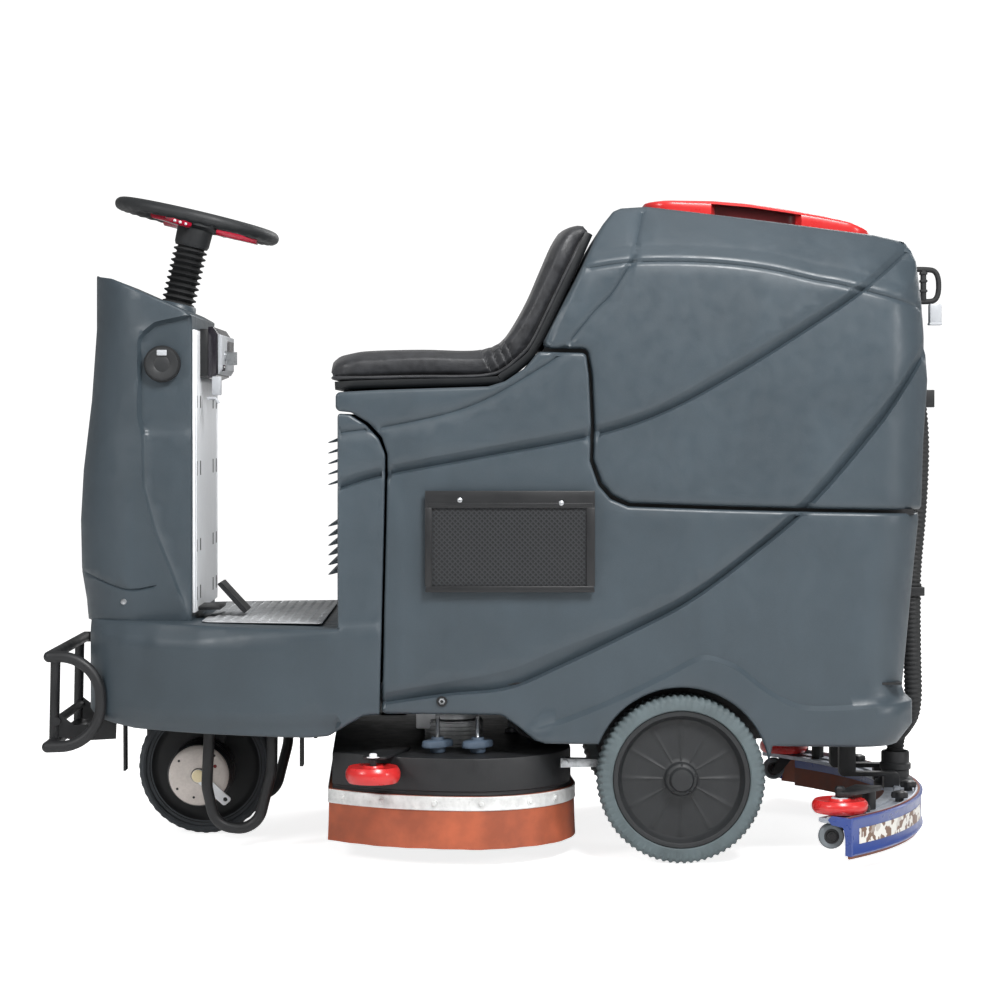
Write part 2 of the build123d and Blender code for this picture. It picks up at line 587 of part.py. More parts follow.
def deck_shell():
    """Brush housing with the brackets that hold the bump rollers."""
    shell = extrude(Pos(0, 0, SHELL_Z0) * deck_outline(0), amount=SHELL_Z1 - SHELL_Z0)
    shell -= extrude(Pos(0, 0, SHELL_Z0 - 1) * deck_outline(-5), amount=SHELL_Z1 - SHELL_Z0 - 5)
    for x, y in BRUSH_CENTRES:
        shell -= rod(16, (x, y, SHELL_Z1 - 10), (x, y, SHELL_Z1 + 1))
    for x, y in ROLLERS:
        side = math.copysign(1, y)
        inner_y = y - side * 130
        arm = plan_face([(x - 22, y), (x + 22, y), (x + 60, inner_y), (x + 10, inner_y)], [16, 16, 2, 2])
        shell += extrude(Pos(0, 0, SHELL_Z1) * arm, amount=5)
        shell += rod(ROLLER_PIN_R, (x, y, 142), (x, y, SHELL_Z1 + 1))
    for y in (-150.0, 150.0):
        lug = side_face([(60, SHELL_Z1), (112, SHELL_Z1), (112, 206), (100, 212), (72, 212)])
        for dy in (-16.0, 10.0):
            plate = side_solid(lug, y + dy, y + dy + 6)
            shell += plate - block(76, 104, y + dy - 1, y + dy + 7, 194.4, 203.6)
    return shell


def bump_roller(x, y, radius, z0, z1, bore):
    wheel = rod(radius, (x, y, z0), (x, y, z1))
    wheel = fillet(wheel.edges().filter_by(GeomType.CIRCLE), (z1 - z0) * 0.35)
    return wheel - rod(bore + RUN, (x, y, z0 - 1), (x, y, z1 + 1))


def deck_skirt():
    skirt = deck_outline(6) - deck_outline(0.0)
    return extrude(Pos(0, 0, DECK_BOTTOM) * skirt, amount=STRAP_Z1 - DECK_BOTTOM - 1)


def deck_strap():
    strap = deck_outline(8) - deck_outline(6)
    return extrude(Pos(0, 0, STRAP_Z0) * strap, amount=STRAP_Z1 - STRAP_Z0)


def deck_motors():
    """Two brush motors on the deck, each with its shaft through the housing."""
    parts = []
    for x, y in BRUSH_CENTRES:
        motor = rod(52, (x, y, SHELL_Z1), (x, y, 232)) + rod(44, (x, y, 232), (x, y, 258))
        motor += rod(14, (x, y, 100), (x, y, SHELL_Z1))
        parts.append(motor)
    return group(*parts)


KNOBS = ((-105.0, -305.0), (-35.0, -310.0))


def deck_knobs():
    """Height-setting screws with their star knobs, and the lifting rod."""
    parts = []
    for x, y in KNOBS:
        knob = rod(11, (x, y, SHELL_Z1), (x, y, 212))
        knob += block(x - 30, x + 30, y - 5, y + 5, SHELL_Z1, 204)
        knob += block(x - 5, x + 5, y - 24, y + 24, SHELL_Z1, 204)
        parts.append(knob - rod(4, (x, y, SHELL_Z1 - 1), (x, y, 213)))
        parts.append(rod(4, (x, y, SHELL_Z1), (x, y, 250)))
    parts.append(rod(9, (30, 0, SHELL_Z1), (30, 0, 262)))
    return group(*parts)


def brush(x, y):
    """Brush block with its bristle ring and the boss that takes the motor shaft."""
    disc = rod(BRUSH_R, (x, y, 76), (x, y, 92))
    bristles = rod(BRUSH_R - 4, (x, y, 29.5), (x, y, 76)) - rod(70, (x, y, 29), (x, y, 76))
    boss = rod(34, (x, y, 92), (x, y, 150))
    return disc + bristles + boss - rod(14 + RUN, (x, y, 99.5), (x, y, 151))


ARM_PIVOT = (196.0, 199.0)
ARM_TIP_X = 90.0


def deck_arms():
    """The pair of arms that guide the deck, joined by their pivot tube on the chassis."""
    arm = side_face([(ARM_TIP_X, ARM_PIVOT[1] - 8), (ARM_PIVOT[0], ARM_PIVOT[1] - 12),
                     (ARM_PIVOT[0], ARM_PIVOT[1] + 12), (ARM_TIP_X, ARM_PIVOT[1] + 8)])
    parts = rod(11, (ARM_PIVOT[0], -172, ARM_PIVOT[1]), (ARM_PIVOT[0], 172, ARM_PIVOT[1]))
    for y in (-150.0, 150.0):
        parts += side_solid(arm, y - 8, y + 8)
        parts += rod(8, (ARM_TIP_X, y - 8, ARM_PIVOT[1]), (ARM_TIP_X, y + 8, ARM_PIVOT[1]))
        parts += rod(4, (ARM_TIP_X, y - 18, ARM_PIVOT[1]), (ARM_TIP_X, y + 18, ARM_PIVOT[1]))
    return parts


# ---- squeegee -----------------------------------------------------------------------------------
def squeegee_band(r0, r1, half_angle, z0, z1):
    """An arc-shaped band, open towards the front."""
    def point(radius, angle):
        turn = math.radians(angle)
        return (SQUEEGEE_X + radius * math.cos(turn), radius * math.sin(turn))

    edges = [
        ThreePointArc(point(r1, -half_angle), point(r1, 0), point(r1, half_angle)),
        Line(point(r1, half_angle), point(r0, half_angle)),
        ThreePointArc(point(r0, half_angle), point(r0, 0), point(r0, -half_angle)),
        Line(point(r0, -half_angle), point(r1, -half_angle)),
    ]
    return extrude(Pos(0, 0, z0) * make_face(edges), amount=z1 - z0)


SQ_ROLLERS = ((584.0, -398.0), (584.0, 398.0))
SQ_ROLLER_R = 48.0
CASTERS = ((566.0, -420.0), (566.0, 420.0))
CASTER_Z, CASTER_R = 60.0, 22.0
SQ_PIVOT = (461.0, 199.0)
SQ_TIP_X = 600.0


def squeegee_frame():
    """Curved squeegee body with suction nozzle, roller posts, caster arms and lifting lugs."""
    frame = squeegee_band(612, 672, SQUEEGEE_HALF_ANGLE, 84, 92)
    frame += squeegee_band(640, 646, 38, 60, 84)
    frame += rod(26, (744, 0, 87), (744, 0, 150))
    frame -= rod(22, (744, 0, 60), (744, 0, 151))
    for x, y in SQ_ROLLERS:
        frame += rod(ROLLER_PIN_R, (x, y, 90), (x, y, 134))
        side = math.copysign(1, y)
        arm = plan_face([(x - 14, y + side * 12), (x + 14, y + side * 12), (x + 84, y - side * 70),
                         (x + 40, y - side * 90)], [8, 8, 2, 2])
        frame += extrude(Pos(0, 0, 124) * arm, amount=8)
        frame += rod(12, (x + 60, y - side * 66, 90), (x + 60, y - side * 66, 128))
    for x, y in CASTERS:
        side = math.copysign(1, y)
        low, high = sorted((y - side * 13.0, y - side * 19.0))
        foot = CASTER_Z - 9
        leg = side_face([(x - 9, foot), (x + 9, foot), (x + 40, 86), (x + 12, 86)], [5, 5, 0, 0])
        frame += side_solid(leg, low, high)
        frame += rod(5, (x, y - side * 13, CASTER_Z), (x, y + side * 9, CASTER_Z))
    for y in (-90.0, 90.0):
        x0, x1 = SQ_TIP_X - 18, SQ_TIP_X + 22
        lug = side_face([(x0, 180), (x1, 180), (x1, 212), (x0, 212)])
        for dy in (-16.0, 10.0):
            plate = side_solid(lug, y + dy, y + dy + 6)
            frame += plate - block(SQ_TIP_X - 13, SQ_TIP_X + 9, y + dy - 1, y + dy + 7, 194.5, 203.5)
    frame += block(SQ_TIP_X - 18, SQ_TIP_X + 60, -106, 106, 172, 180)
    for y in (-60.0, 60.0):
        frame += block(SQ_TIP_X + 30, SQ_TIP_X + 60, y - 12, y + 12, 120, 172)
        frame += block(SQ_TIP_X + 30, SQ_TIP_X + 140, y - 12, y + 12, 112, 120)
        frame += block(SQ_TIP_X + 112, SQ_TIP_X + 140, y - 12, y + 12, 92, 112)
    return frame


def squeegee_blades():
    """Front and rear rubber blades."""
    rear = squeegee_band(672, SQUEEGEE_R, SQUEEGEE_HALF_ANGLE, SQUEEGEE_BOTTOM, 98)
    front = squeegee_band(636, 640, 38, SQUEEGEE_BOTTOM + 2, 84)
    return group(rear, front)


def squeegee_strap():
    """Blue band that clamps the rear blade."""
    return squeegee_band(SQUEEGEE_R, SQUEEGEE_R + 3, SQUEEGEE_HALF_ANGLE - 0.5, 34, 96)


def caster(x, y):
    wheel = rod(CASTER_R, (x, y - 8, CASTER_Z), (x, y + 8, CASTER_Z))
    return wheel - rod(5 + RUN, (x, y - 9, CASTER_Z), (x, y + 9, CASTER_Z))


def squeegee_arms():
    parts = rod(11, (SQ_PIVOT[0], -120, SQ_PIVOT[1]), (SQ_PIVOT[0], 120, SQ_PIVOT[1]))
    x, z = SQ_PIVOT
    arm = side_face([(x, z - 10), (SQ_TIP_X, z - 7), (SQ_TIP_X, z + 7), (x, z + 10)])
    for y in (-90.0, 90.0):
        parts += side_solid(arm, y - 8, y + 8)
        parts += rod(7, (SQ_TIP_X, y - 8, SQ_PIVOT[1]), (SQ_TIP_X, y + 8, SQ_PIVOT[1]))
        parts += rod(4, (SQ_TIP_X, y - 18, SQ_PIVOT[1]), (SQ_TIP_X, y + 18, SQ_PIVOT[1]))
    return parts


def lift_actuators():
    """Electric lifting cylinders of the deck and the squeegee, on the chassis."""
    deck = rod(24, (30, 0, 238), (30, 0, 304)) - rod(9 + RUN, (30, 0, 237), (30, 0, 300))
    deck_motor = block(62, 130, -26, 26, 240, 300) + block(50, 64, -14, 14, 270, 300)
    squeegee = rod(20, (500, 0, 240), (600, 0, 240)) + block(476, 502, -24, 24, 216, 290)
    return group(deck + deck_motor, squeegee)


def arm_pivots():
    """Hanger plates on the chassis for the two pairs of arms."""
    parts = None
    for (x, z), half in ((ARM_PIVOT, 172.0), (SQ_PIVOT, 120.0)):
        for side in (-1, 1):
            low, high = sorted((side * (half + 0.5), side * (half + 6.5)))
            corners = [(x - 16, REAR_RAIL_Z), (x - 14, z - 14), (x + 14, z - 14), (x + 16, REAR_RAIL_Z)]
            hanger = side_face(corners, [0, 12, 12, 0])
            plate = side_solid(hanger, low, high)
            parts = plate if parts is None else parts + plate
    return parts


# ---- seat ---------------------------------------------------------------------------------------
PAN_LINE = [(-286, 829), (-17, 835), (12, 845), (48, 871), (70, 896), (103, 962), (140, 1041), (166, 1098)]
PAN_THICK = 9.0
CUSHION_TOP = [(157, 1109), (139, 1117), (112, 1092), (84, 1039), (66, 987), (33, 933), (12, 908), (-24, 892),
               (-61, 889), (-134, 890), (-213, 888), (-278, 879), (-296, 862), (-296, 846)]


def offset_line(points, amount):
    """Points moved square to the line they lie on."""
    moved = []
    for i, (x, z) in enumerate(points):
        x0, z0 = points[max(i - 1, 0)]
        x1, z1 = points[min(i + 1, len(points) - 1)]
        length = math.hypot(x1 - x0, z1 - z0)
        moved.append((x - amount * (z1 - z0) / length, z + amount * (x1 - x0) / length))
    return moved


def seat_pan():
    """Plastic base shell under the cushion, with the two moving hinge knuckles."""
    upper = offset_line(PAN_LINE, PAN_THICK)
    pan = side_solid(side_face(PAN_LINE + upper[::-1]), -SEAT_HALF, SEAT_HALF)
    x, _, z = SEAT_HINGE
    for side in (-1, 1):
        low, high = sorted((side * 110.4, side * 129.6))
        knuckle = rod(5.5, (x, low, z), (x, high, z)) + block(x - 5, x + 5, low, high, z, 834)
        pan += knuckle - rod(3 + RUN, (x, low - 1, z), (x, high + 1, z))
    return pan


def seat_cushion():
    """One-piece cushion and low backrest."""
    lower = offset_line(PAN_LINE, PAN_THICK + 0.6)
    shape = side_solid(side_face(lower + CUSHION_TOP), -SEAT_HALF, SEAT_HALF)
    corners = [(-300, -SEAT_HALF), (200, -SEAT_HALF), (200, SEAT_HALF), (-300, SEAT_HALF)]
    return shape & extrude(plan_face(corners, [60, 20, 20, 60]), amount=1300)


def seat_hinge():
    """Fixed knuckles and pins at the seat's front edge."""
    x, _, z = SEAT_HINGE
    parts = []
    for side in (-1, 1):
        low, high = sorted((side * 90.0, side * 150.0))
        pin = rod(3, (x, low, z), (x, high, z))
        for inner, outer in ((90.0, 110.0), (130.0, 150.0)):
            a, b = sorted((side * inner, side * outer))
            pin += rod(5.5, (x, a, z), (x, b, z)) + block(x - 5, x + 9, a, b, 815, z)
        parts.append(pin)
    return group(*parts)


# ---- pocket, hoses, inner pieces ----------------------------------------------------------------
def net_pocket():
    """Frame and net of the storage pocket on the left side."""
    y0, y1 = -BODY_HALF - 6, -BODY_HALF
    frame = block(-126, 167, y0, y1, 470, 645)
    frame -= block(-114, 152, y0 - 1, y1 + 1, 481, 615)
    net = block(-114, 152, y0 + 2.5, y0 + 4, 481, 615)
    return group(frame, net)


BATTERY = (172.0, 326.0, 222.0)


def battery_positions():
    for x in (-107.0, 69.0):
        for y in (-165.0, 165.0):
            yield x, y


def batteries():
    length, width, height = BATTERY
    z0 = TANK_FLOOR_Z + WALL
    return group(*[block(x - length / 2, x + length / 2, y - width / 2, y + width / 2, z0, z0 + height)
                   for x, y in battery_positions()])


def wiring():
    """Battery terminals and links, and the cable loop between body and deck."""
    z0 = TANK_FLOOR_Z + WALL + BATTERY[2]
    posts = []
    for x, y in battery_positions():
        for dy in (-120.0, 120.0):
            posts.append(rod(8, (x, y + dy, z0), (x, y + dy, z0 + 16)))
    links = [
        tube(5, [(-99, -45, z0 + 8), (-60, -45, z0 + 34), (20, -45, z0 + 34), (61, -45, z0 + 8)], [20, 20]),
        tube(5, [(-107, -37, z0 + 8), (-107, -15, z0 + 26), (-107, 15, z0 + 26), (-107, 37, z0 + 8)], [8, 8]),
        tube(5, [(69, 37, z0 + 8), (69, 15, z0 + 26), (69, -15, z0 + 26), (69, -37, z0 + 8)], [8, 8]),
    ]
    loop = tube(4, [(20, -232, 264), (24, -240, 222), (70, -252, 200), (118, -256, 206), (142, -246, 228),
                    (150, -232, 264)], [16, 22, 22, 16])
    return group(*posts, *links, loop)


def vacuum_motor():
    """Suction fan in the dry space over the batteries."""
    body = rod(72, (60, 230, 600), (60, 230, 690)) + rod(55, (60, 230, 690), (60, 230, 760))
    outlet = rod(20, (60, 230, 640), (60, 345, 640))
    battery_top = TANK_FLOOR_Z + WALL + BATTERY[2] + 0.5
    foot = block(-20, 140, 150, 310, 560, 566) + block(56, 64, 226, 234, 566, 600)
    for x in (-10, 120):
        foot += block(x, x + 10, 160, 300, battery_top, 560)
    return body + outlet + foot


def main_controller():
    case = block(-258, -206, -110, 110, 500, 690)
    for i in range(9):
        z = 512 + i * 20
        case -= block(-259, -244, -111, 111, z, z + 10)
    return case


def suction_hose():
    """Corrugated hose from the squeegee nozzle up to the back of the recovery tank."""
    path = [(744, 0, 152), (744, 0, 182), (748, -50, 198), (762, -96, 238), (759, -100, 330),
            (757, -100, 470), (772, -100, 620), (776, -100, 760), (766, -100, 812)]
    return tube(17, path, [19, 19, 34, 60, 90, 90, 40])


def drain_hose():
    """Looped end of the drain hose at the back of the recovery tank, with its pale cap."""
    ring = tube(5, [(744, -100, 1041), (807, -100, 1041), (807, -100, 984), (744, -100, 984)], [28, 28])
    ring += block(774, 784, -106, -94, 984, 1041)
    cap = block(789, 811, -112, -90, 940, 984) - ring
    return group(ring, cap)


def fasteners():
    """Screws of the pocket frame, the column's lower screws and the body's side bolts."""
    heads = []
    for x, z in ((-66.0, 629.0), (109.0, 624.0)):
        heads.append(rod(4.5, (x, -BODY_HALF - 6, z), (x, -BODY_HALF - 8.5, z)))
    for side in (-1, 1):
        heads.append(rod(9, (-97, side * BODY_HALF, 281), (-97, side * (BODY_HALF + 4), 281)))
        heads.append(rod(6, (-667, side * 190, 442), (-667, side * 211, 442)) - column_solid(0))
    return group(*heads)


# ---- the whole machine --------------------------------------------------------------------------
column = column_cover()
footwell = footwell_body()
frame = chassis_frame() + arm_pivots()
tank = solution_tank()
rear_hoses = {"suction_hose": suction_hose(), "drain_hose": drain_hose()}

nodes = {
    "chassis_frame": frame,
    "footwell_body": footwell,
    "floor_plate": floor_plate() - column_solid(0),
    "column_cover": column,
    "column_panel": column_panel(),
    "dash_pod": dash_pod(),
    "column_bellows": column_bellows(),
    "front_bumper": front_bumper(),
    "wheel_guards": wheel_guards(),
    "solution_tank": tank,
    "leg_vent_grille": leg_vent_grille(),
    "recovery_tank": recovery_tank() - rear_hoses["suction_hose"] - rear_hoses["drain_hose"],
    "net_pocket": net_pocket(),
    "batteries": batteries(),
    "wiring": wiring(),
    "vacuum_motor": vacuum_motor(),
    "main_controller": main_controller(),
    "suction_hose": rear_hoses["suction_hose"],
    "drain_hose": rear_hoses["drain_hose"],
    "seat_hinge": seat_hinge() - tank,
    "lift_actuators": lift_actuators(),
    "steering_chain": steering_chain(),
    "fasteners": fasteners(),
    "steering_wheel": steering_wheel(),
    "steering_shaft": steering_shaft(),
    "steering_pinion": steering_pinion(),
    "drive_fork": drive_fork(),
    "drive_motor": drive_motor(),
    "brake_lever": brake_lever(),
    "drive_tyre": tyre((FORK_X, 0, DRIVE_WHEEL_R), DRIVE_WHEEL_R, DRIVE_RIM_R, DRIVE_WHEEL_W),
    "drive_rim": drive_rim(),
    "deck_shell": deck_shell(),
    "deck_skirt": deck_skirt(),
    "deck_strap": deck_strap(),
    "deck_motors": deck_motors(),
    "deck_knobs": deck_knobs(),
    "deck_arms": deck_arms(),
    "squeegee_frame": squeegee_frame(),
    "squeegee_blades": squeegee_blades(),
    "squeegee_strap": squeegee_strap(),
    "squeegee_arms": squeegee_arms(),
    "tank_lid": tank_lid(),
    "seat_pan": seat_pan(),
    "seat_cushion": seat_cushion(),
    "accelerator_pedal": accelerator_pedal(),
    "key_switch": key_switch(),
    "emergency_stop": emergency_stop(),
    "charge_flap": charge_flap(),
}
for name, side in (("left", -1), ("right", 1)):
    index = 0 if side < 0 else 1
    centre = (REAR_WHEEL_X, side * REAR_WHEEL_Y, REAR_WHEEL_R)
    nodes["rear_tyre_" + name] = tyre(centre, REAR_WHEEL_R, REAR_RIM_R, REAR_WHEEL_W)
    nodes["rear_rim_" + name] = rear_rim(side)
    nodes["brush_" + name] = brush(*BRUSH_CENTRES[index])
    nodes["deck_roller_" + name] = bump_roller(*ROLLERS[index], ROLLER_R, 146, 177, ROLLER_PIN_R)
    nodes["squeegee_roller_" + name] = bump_roller(*SQ_ROLLERS[index], SQ_ROLLER_R, 95, 121, ROLLER_PIN_R)
    nodes["caster_" + name] = caster(*CASTERS[index])

os.makedirs("parts", exist_ok=True)
for node, shape in nodes.items():
    export_step(shape, "parts/" + node + ".step")
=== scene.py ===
import math

import bmesh
import bpy
import numpy as np
from mathutils import Matrix, Vector, geometry


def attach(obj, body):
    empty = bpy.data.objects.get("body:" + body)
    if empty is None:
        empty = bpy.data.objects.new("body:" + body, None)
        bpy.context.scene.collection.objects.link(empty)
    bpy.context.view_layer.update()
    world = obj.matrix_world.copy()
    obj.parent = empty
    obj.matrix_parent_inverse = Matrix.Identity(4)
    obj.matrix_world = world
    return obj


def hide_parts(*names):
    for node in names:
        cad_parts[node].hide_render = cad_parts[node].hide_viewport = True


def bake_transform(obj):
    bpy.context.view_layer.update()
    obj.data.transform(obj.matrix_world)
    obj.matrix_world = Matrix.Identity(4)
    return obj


# Ride-on scrubber-dryer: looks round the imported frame. Outlines are written in millimetres, as (x, z) in
# side view or (x, y) in plan, and every mesh is made in metres.
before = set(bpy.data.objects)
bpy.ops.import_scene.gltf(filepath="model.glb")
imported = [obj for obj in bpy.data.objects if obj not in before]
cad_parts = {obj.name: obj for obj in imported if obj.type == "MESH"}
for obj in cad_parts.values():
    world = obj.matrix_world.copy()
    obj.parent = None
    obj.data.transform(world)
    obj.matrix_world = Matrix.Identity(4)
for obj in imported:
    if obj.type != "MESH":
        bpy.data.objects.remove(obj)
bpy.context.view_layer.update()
MM = 0.001
UP = (0, 0, 1)
NEAR = (0, -1, 0)               # out of the side that the photo shows
FAR = (0, 1, 0)


# ---- points and lines ---------------------------------------------------------------------------
def rounded(corners, radii, closed=True):
    """Corner points joined by straight runs, each corner turned into an arc."""
    corners = [Vector(c) for c in corners]
    count = len(corners)
    radii = list(radii) if isinstance(radii, (list, tuple)) else [radii] * count
    line = []
    for i, here in enumerate(corners):
        if radii[i] <= 0 or (not closed and i in (0, count - 1)):
            line.append(here)
            continue
        back = corners[i - 1] - here
        ahead = corners[(i + 1) % count] - here
        angle = back.angle(ahead)
        if angle > math.pi - 0.02:
            line.append(here)
            continue
        cut = min(radii[i] / math.tan(angle / 2), 0.49 * back.length, 0.49 * ahead.length)
        radius = cut * math.tan(angle / 2)
        middle = (back.normalized() + ahead.normalized()).normalized()
        centre = here + middle * (radius / math.sin(angle / 2))
        first = here + back.normalized() * cut - centre
        last = here + ahead.normalized() * cut - centre
        steps = max(2, round((math.pi - angle) / 0.2))
        for k in range(steps + 1):
            line.append(centre + first.lerp(last, k / steps).normalized() * radius)
    return line


def spaced(line, step, closed=False):
    """The same line with points no further apart than step."""
    dense = []
    ends = line[1:] + ([line[0]] if closed else [])
    for a, b in zip(line, ends):
        parts = max(1, math.ceil((b - a).length / step))
        dense.extend(a.lerp(b, k / parts) for k in range(parts))
    if not closed:
        dense.append(line[-1])
    return dense


def curve_through(points, step):
    """A smooth line through the points (Catmull-Rom)."""
    points = [Vector(p) for p in points]
    padded = [points[0] * 2 - points[1]] + points + [points[-1] * 2 - points[-2]]
    line = []
    for i in range(1, len(padded) - 2):
        a, b, c, d = padded[i - 1:i + 3]
        parts = max(1, math.ceil((c - b).length / step))
        for k in range(parts):
            t = k / parts
            line.append(0.5 * (2 * b + (c - a) * t + (2 * a - 5 * b + 4 * c - d) * t ** 2
                               + (3 * b - a - 3 * c + d) * t ** 3))
    line.append(points[-1])
    return line


def beside(line, amount):
    """A line moved square to itself in its plane; positive is to the left of its direction."""
    moved = []
    for i, p in enumerate(line):
        along = (line[min(i + 1, len(line) - 1)] - line[max(i - 1, 0)]).normalized()
        moved.append(p + Vector((-along.y, along.x)) * amount)
    return moved


def signed_distance(x, z, line):
    """Distance from points to a line, positive on the left of its direction."""
    best = np.full(len(x), 1e9)
    side = np.ones(len(x))
    for a, b in zip(line, line[1:]):
        dx, dz = b[0] - a[0], b[1] - a[1]
        t = np.clip(((x - a[0]) * dx + (z - a[1]) * dz) / (dx * dx + dz * dz + 1e-12), 0, 1)
        px, pz = x - a[0] - t * dx, z - a[1] - t * dz
        d = np.hypot(px, pz)
        closer = d < best
        best = np.where(closer, d, best)
        side = np.where(closer, np.sign(dx * pz - dz * px), side)
    return best * side


def inside(x, z, loop):
    """Which points lie inside a closed line."""
    found = np.zeros(len(x), bool)
    for a, b in zip(loop, loop[1:] + loop[:1]):
        if abs(b[1] - a[1]) < 1e-12:
            continue
        crossing = ((a[1] > z) != (b[1] > z)) & (x < (b[0] - a[0]) * (z - a[1]) / (b[1] - a[1]) + a[0])
        found ^= crossing
    return found


def soft_step(t):
    t = np.clip(t, 0, 1)
    return t * t * (3 - 2 * t)


def corner_inset(distance, radius):
    """How far a rounded corner pulls a surface in, at a distance from its edge."""
    d = np.clip(distance, 0, radius)
    return radius - np.sqrt(radius ** 2 - (radius - d) ** 2)


# ---- meshes -------------------------------------------------------------------------------------
def add_mesh(name, verts, faces, body, material=None, smooth=40.0):
    mesh = bpy.data.meshes.new(name)
    mesh.from_pydata([tuple(v) for v in verts], [], [tuple(f) for f in faces])
    mesh.validate()
    mesh.update()
    piece = bpy.data.objects.new(name, mesh)
    bpy.context.scene.collection.objects.link(piece)
    finish_mesh(piece, smooth)
    if material:
        mesh.materials.append(material)
    if body:
        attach(piece, body)
    return piece


def finish_mesh(piece, smooth):
    """Merges doubles, makes the normals point out and shades smooth below an angle."""
    bm = bmesh.new()
    bm.from_mesh(piece.data)
    bmesh.ops.remove_doubles(bm, verts=bm.verts, dist=2e-5)
    bmesh.ops.recalc_face_normals(bm, faces=bm.faces)
    bm.to_mesh(piece.data)
    bm.free()
    piece.data.polygons.foreach_set("use_smooth", [True] * len(piece.data.polygons))
    piece.data.set_sharp_from_angle(angle=math.radians(smooth))


class Build:
    """Collects several shapes into one mesh."""

    def __init__(self):
        self.verts, self.faces = [], []

    def add(self, verts, faces):
        start = len(self.verts)
        self.verts.extend(Vector(v) for v in verts)
        self.faces.extend(tuple(i + start for i in f) for f in faces)
        return self

    def rings(self, rings, close_ring=True, cap=True, close_path=False):
        """Joins rings of the same number of points, one after another."""
        n, verts, faces = len(rings[0]), [p for ring in rings for p in ring], []
        last = len(rings) if close_path else len(rings) - 1
        for i in range(last):
            for k in range(n if close_ring else n - 1):
                a, b = i * n + k, i * n + (k + 1) % n
                c, d = ((i + 1) % len(rings)) * n + (k + 1) % n, ((i + 1) % len(rings)) * n + k
                faces.append((a, b, c, d))
        if cap and close_ring and not close_path:
            faces.append(tuple(reversed(range(n))))
            faces.append(tuple((len(rings) - 1) * n + k for k in range(n)))
        return self.add(verts, faces)

    def revolve(self, profile, origin, axis, segments=48, wobble=None, closed=False):
        """Turns (radius, height) points round an axis; wobble(angle, radius, height) gives both anew."""
        axis = Vector(axis).normalized()
        right = axis.orthogonal().normalized()
        if abs(axis.y) > 0.99:
            right = Vector((1, 0, 0))
        up = axis.cross(right)
        rings = []
        for radius, height in profile:
            ring = []
            for k in range(segments):
                angle = 2 * math.pi * k / segments
                r, h = (radius, height) if wobble is None else wobble(angle, radius, height)
                ring.append(Vector(origin) + axis * h + (right * math.cos(angle) + up * math.sin(angle)) * r)
            rings.append(ring)
        return self.rings(rings, cap=not closed, close_path=closed)

    def tube(self, line, radius, segments=14, closed=False, caps=True):
        """A round bar along a line; radius is a number or one for each point."""
        radii = radius if isinstance(radius, (list, tuple)) else [radius] * len(line)
        line = [Vector(p) for p in line]
        rings, normal = [], None
        for i, p in enumerate(line):
            before = line[i - 1] if (i or closed) else p
            after = line[(i + 1) % len(line)] if (i < len(line) - 1 or closed) else p
            along = (after - before).normalized()
            if normal is None:
                normal = along.orthogonal().normalized()
            normal = (normal - along * normal.dot(along)).normalized()
            other = along.cross(normal)
            rings.append([p + (normal * math.cos(2 * math.pi * k / segments)
                               + other * math.sin(2 * math.pi * k / segments)) * radii[i]
                          for k in range(segments)])
        return self.rings(rings, cap=caps, close_path=closed)

    def box(self, low, high, bevel=0.0):
        """A block with its edges broken; limits in metres."""
        bm = bmesh.new()
        size = Vector(high) - Vector(low)
        middle = (Vector(high) + Vector(low)) / 2
        bmesh.ops.create_cube(bm, size=1.0,
                              matrix=Matrix.Translation(middle) @ Matrix.Diagonal(size).to_4x4())
        return self.take(bm, bevel)

    def prism(self, loop, low, high, bevel=0.0, plane="xz"):
        """A closed outline in millimetres, made solid between two heights in metres."""
        def place(p, h):
            return Vector((p[0] * MM, h, p[1] * MM)) if plane == "xz" else Vector((p[0] * MM, p[1] * MM, h))

        bm = bmesh.new()
        low_ring = [bm.verts.new(place(p, low)) for p in loop]
        high_ring = [bm.verts.new(place(p, high)) for p in loop]
        bm.faces.new(low_ring)
        bm.faces.new(list(reversed(high_ring)))
        for k in range(len(loop)):
            n = (k + 1) % len(loop)
            bm.faces.new((low_ring[n], low_ring[k], high_ring[k], high_ring[n]))
        bmesh.ops.recalc_face_normals(bm, faces=bm.faces)
        return self.take(bm, bevel)

    def take(self, bm, bevel=0.0):
        if bevel:
            sharp = [e for e in bm.edges if e.calc_face_angle(0) > math.radians(35)]
            bmesh.ops.bevel(bm, geom=sharp, offset=bevel, segments=2, profile=0.5, affect="EDGES",
                            clamp_overlap=True)
        bm.verts.index_update()
        self.add([v.co.copy() for v in bm.verts], [[v.index for v in f.verts] for f in bm.faces])
        bm.free()
        return self

    def done(self, name, body, material, smooth=40.0):
        return add_mesh(name, self.verts, self.faces, body, material, smooth)


def cut_mouth(out, co, count, edges, half, bottom, closed):
    """Opens a moulding's top over a run of its rim, between two lips, with walls down to a bottom height."""
    index = {}
    for i in sorted({i for pair in edges for i in pair}):
        index[i] = len(out.verts)
        for z in (co[i][1], bottom):
            out.verts.extend(Vector((co[i][0], y, z)) * MM for y in (-half, half))
    for a, b in edges:
        i, j = index[a], index[b]
        out.faces += [(b, a, i, j), (j + 1, i + 1, a + count, b + count), (j, i, i + 2, j + 2),
                      (i + 1, j + 1, j + 3, i + 3)]
        if closed:
            out.faces.append((j + 2, i + 2, i + 3, j + 3))
    first = ({a for a, b in edges} - {b for a, b in edges}).pop()
    last = ({b for a, b in edges} - {a for a, b in edges}).pop()
    i, j = index[first], index[last]
    out.faces += [(i + 2, i, i + 1, i + 3), (j, j + 2, j + 3, j + 1)]


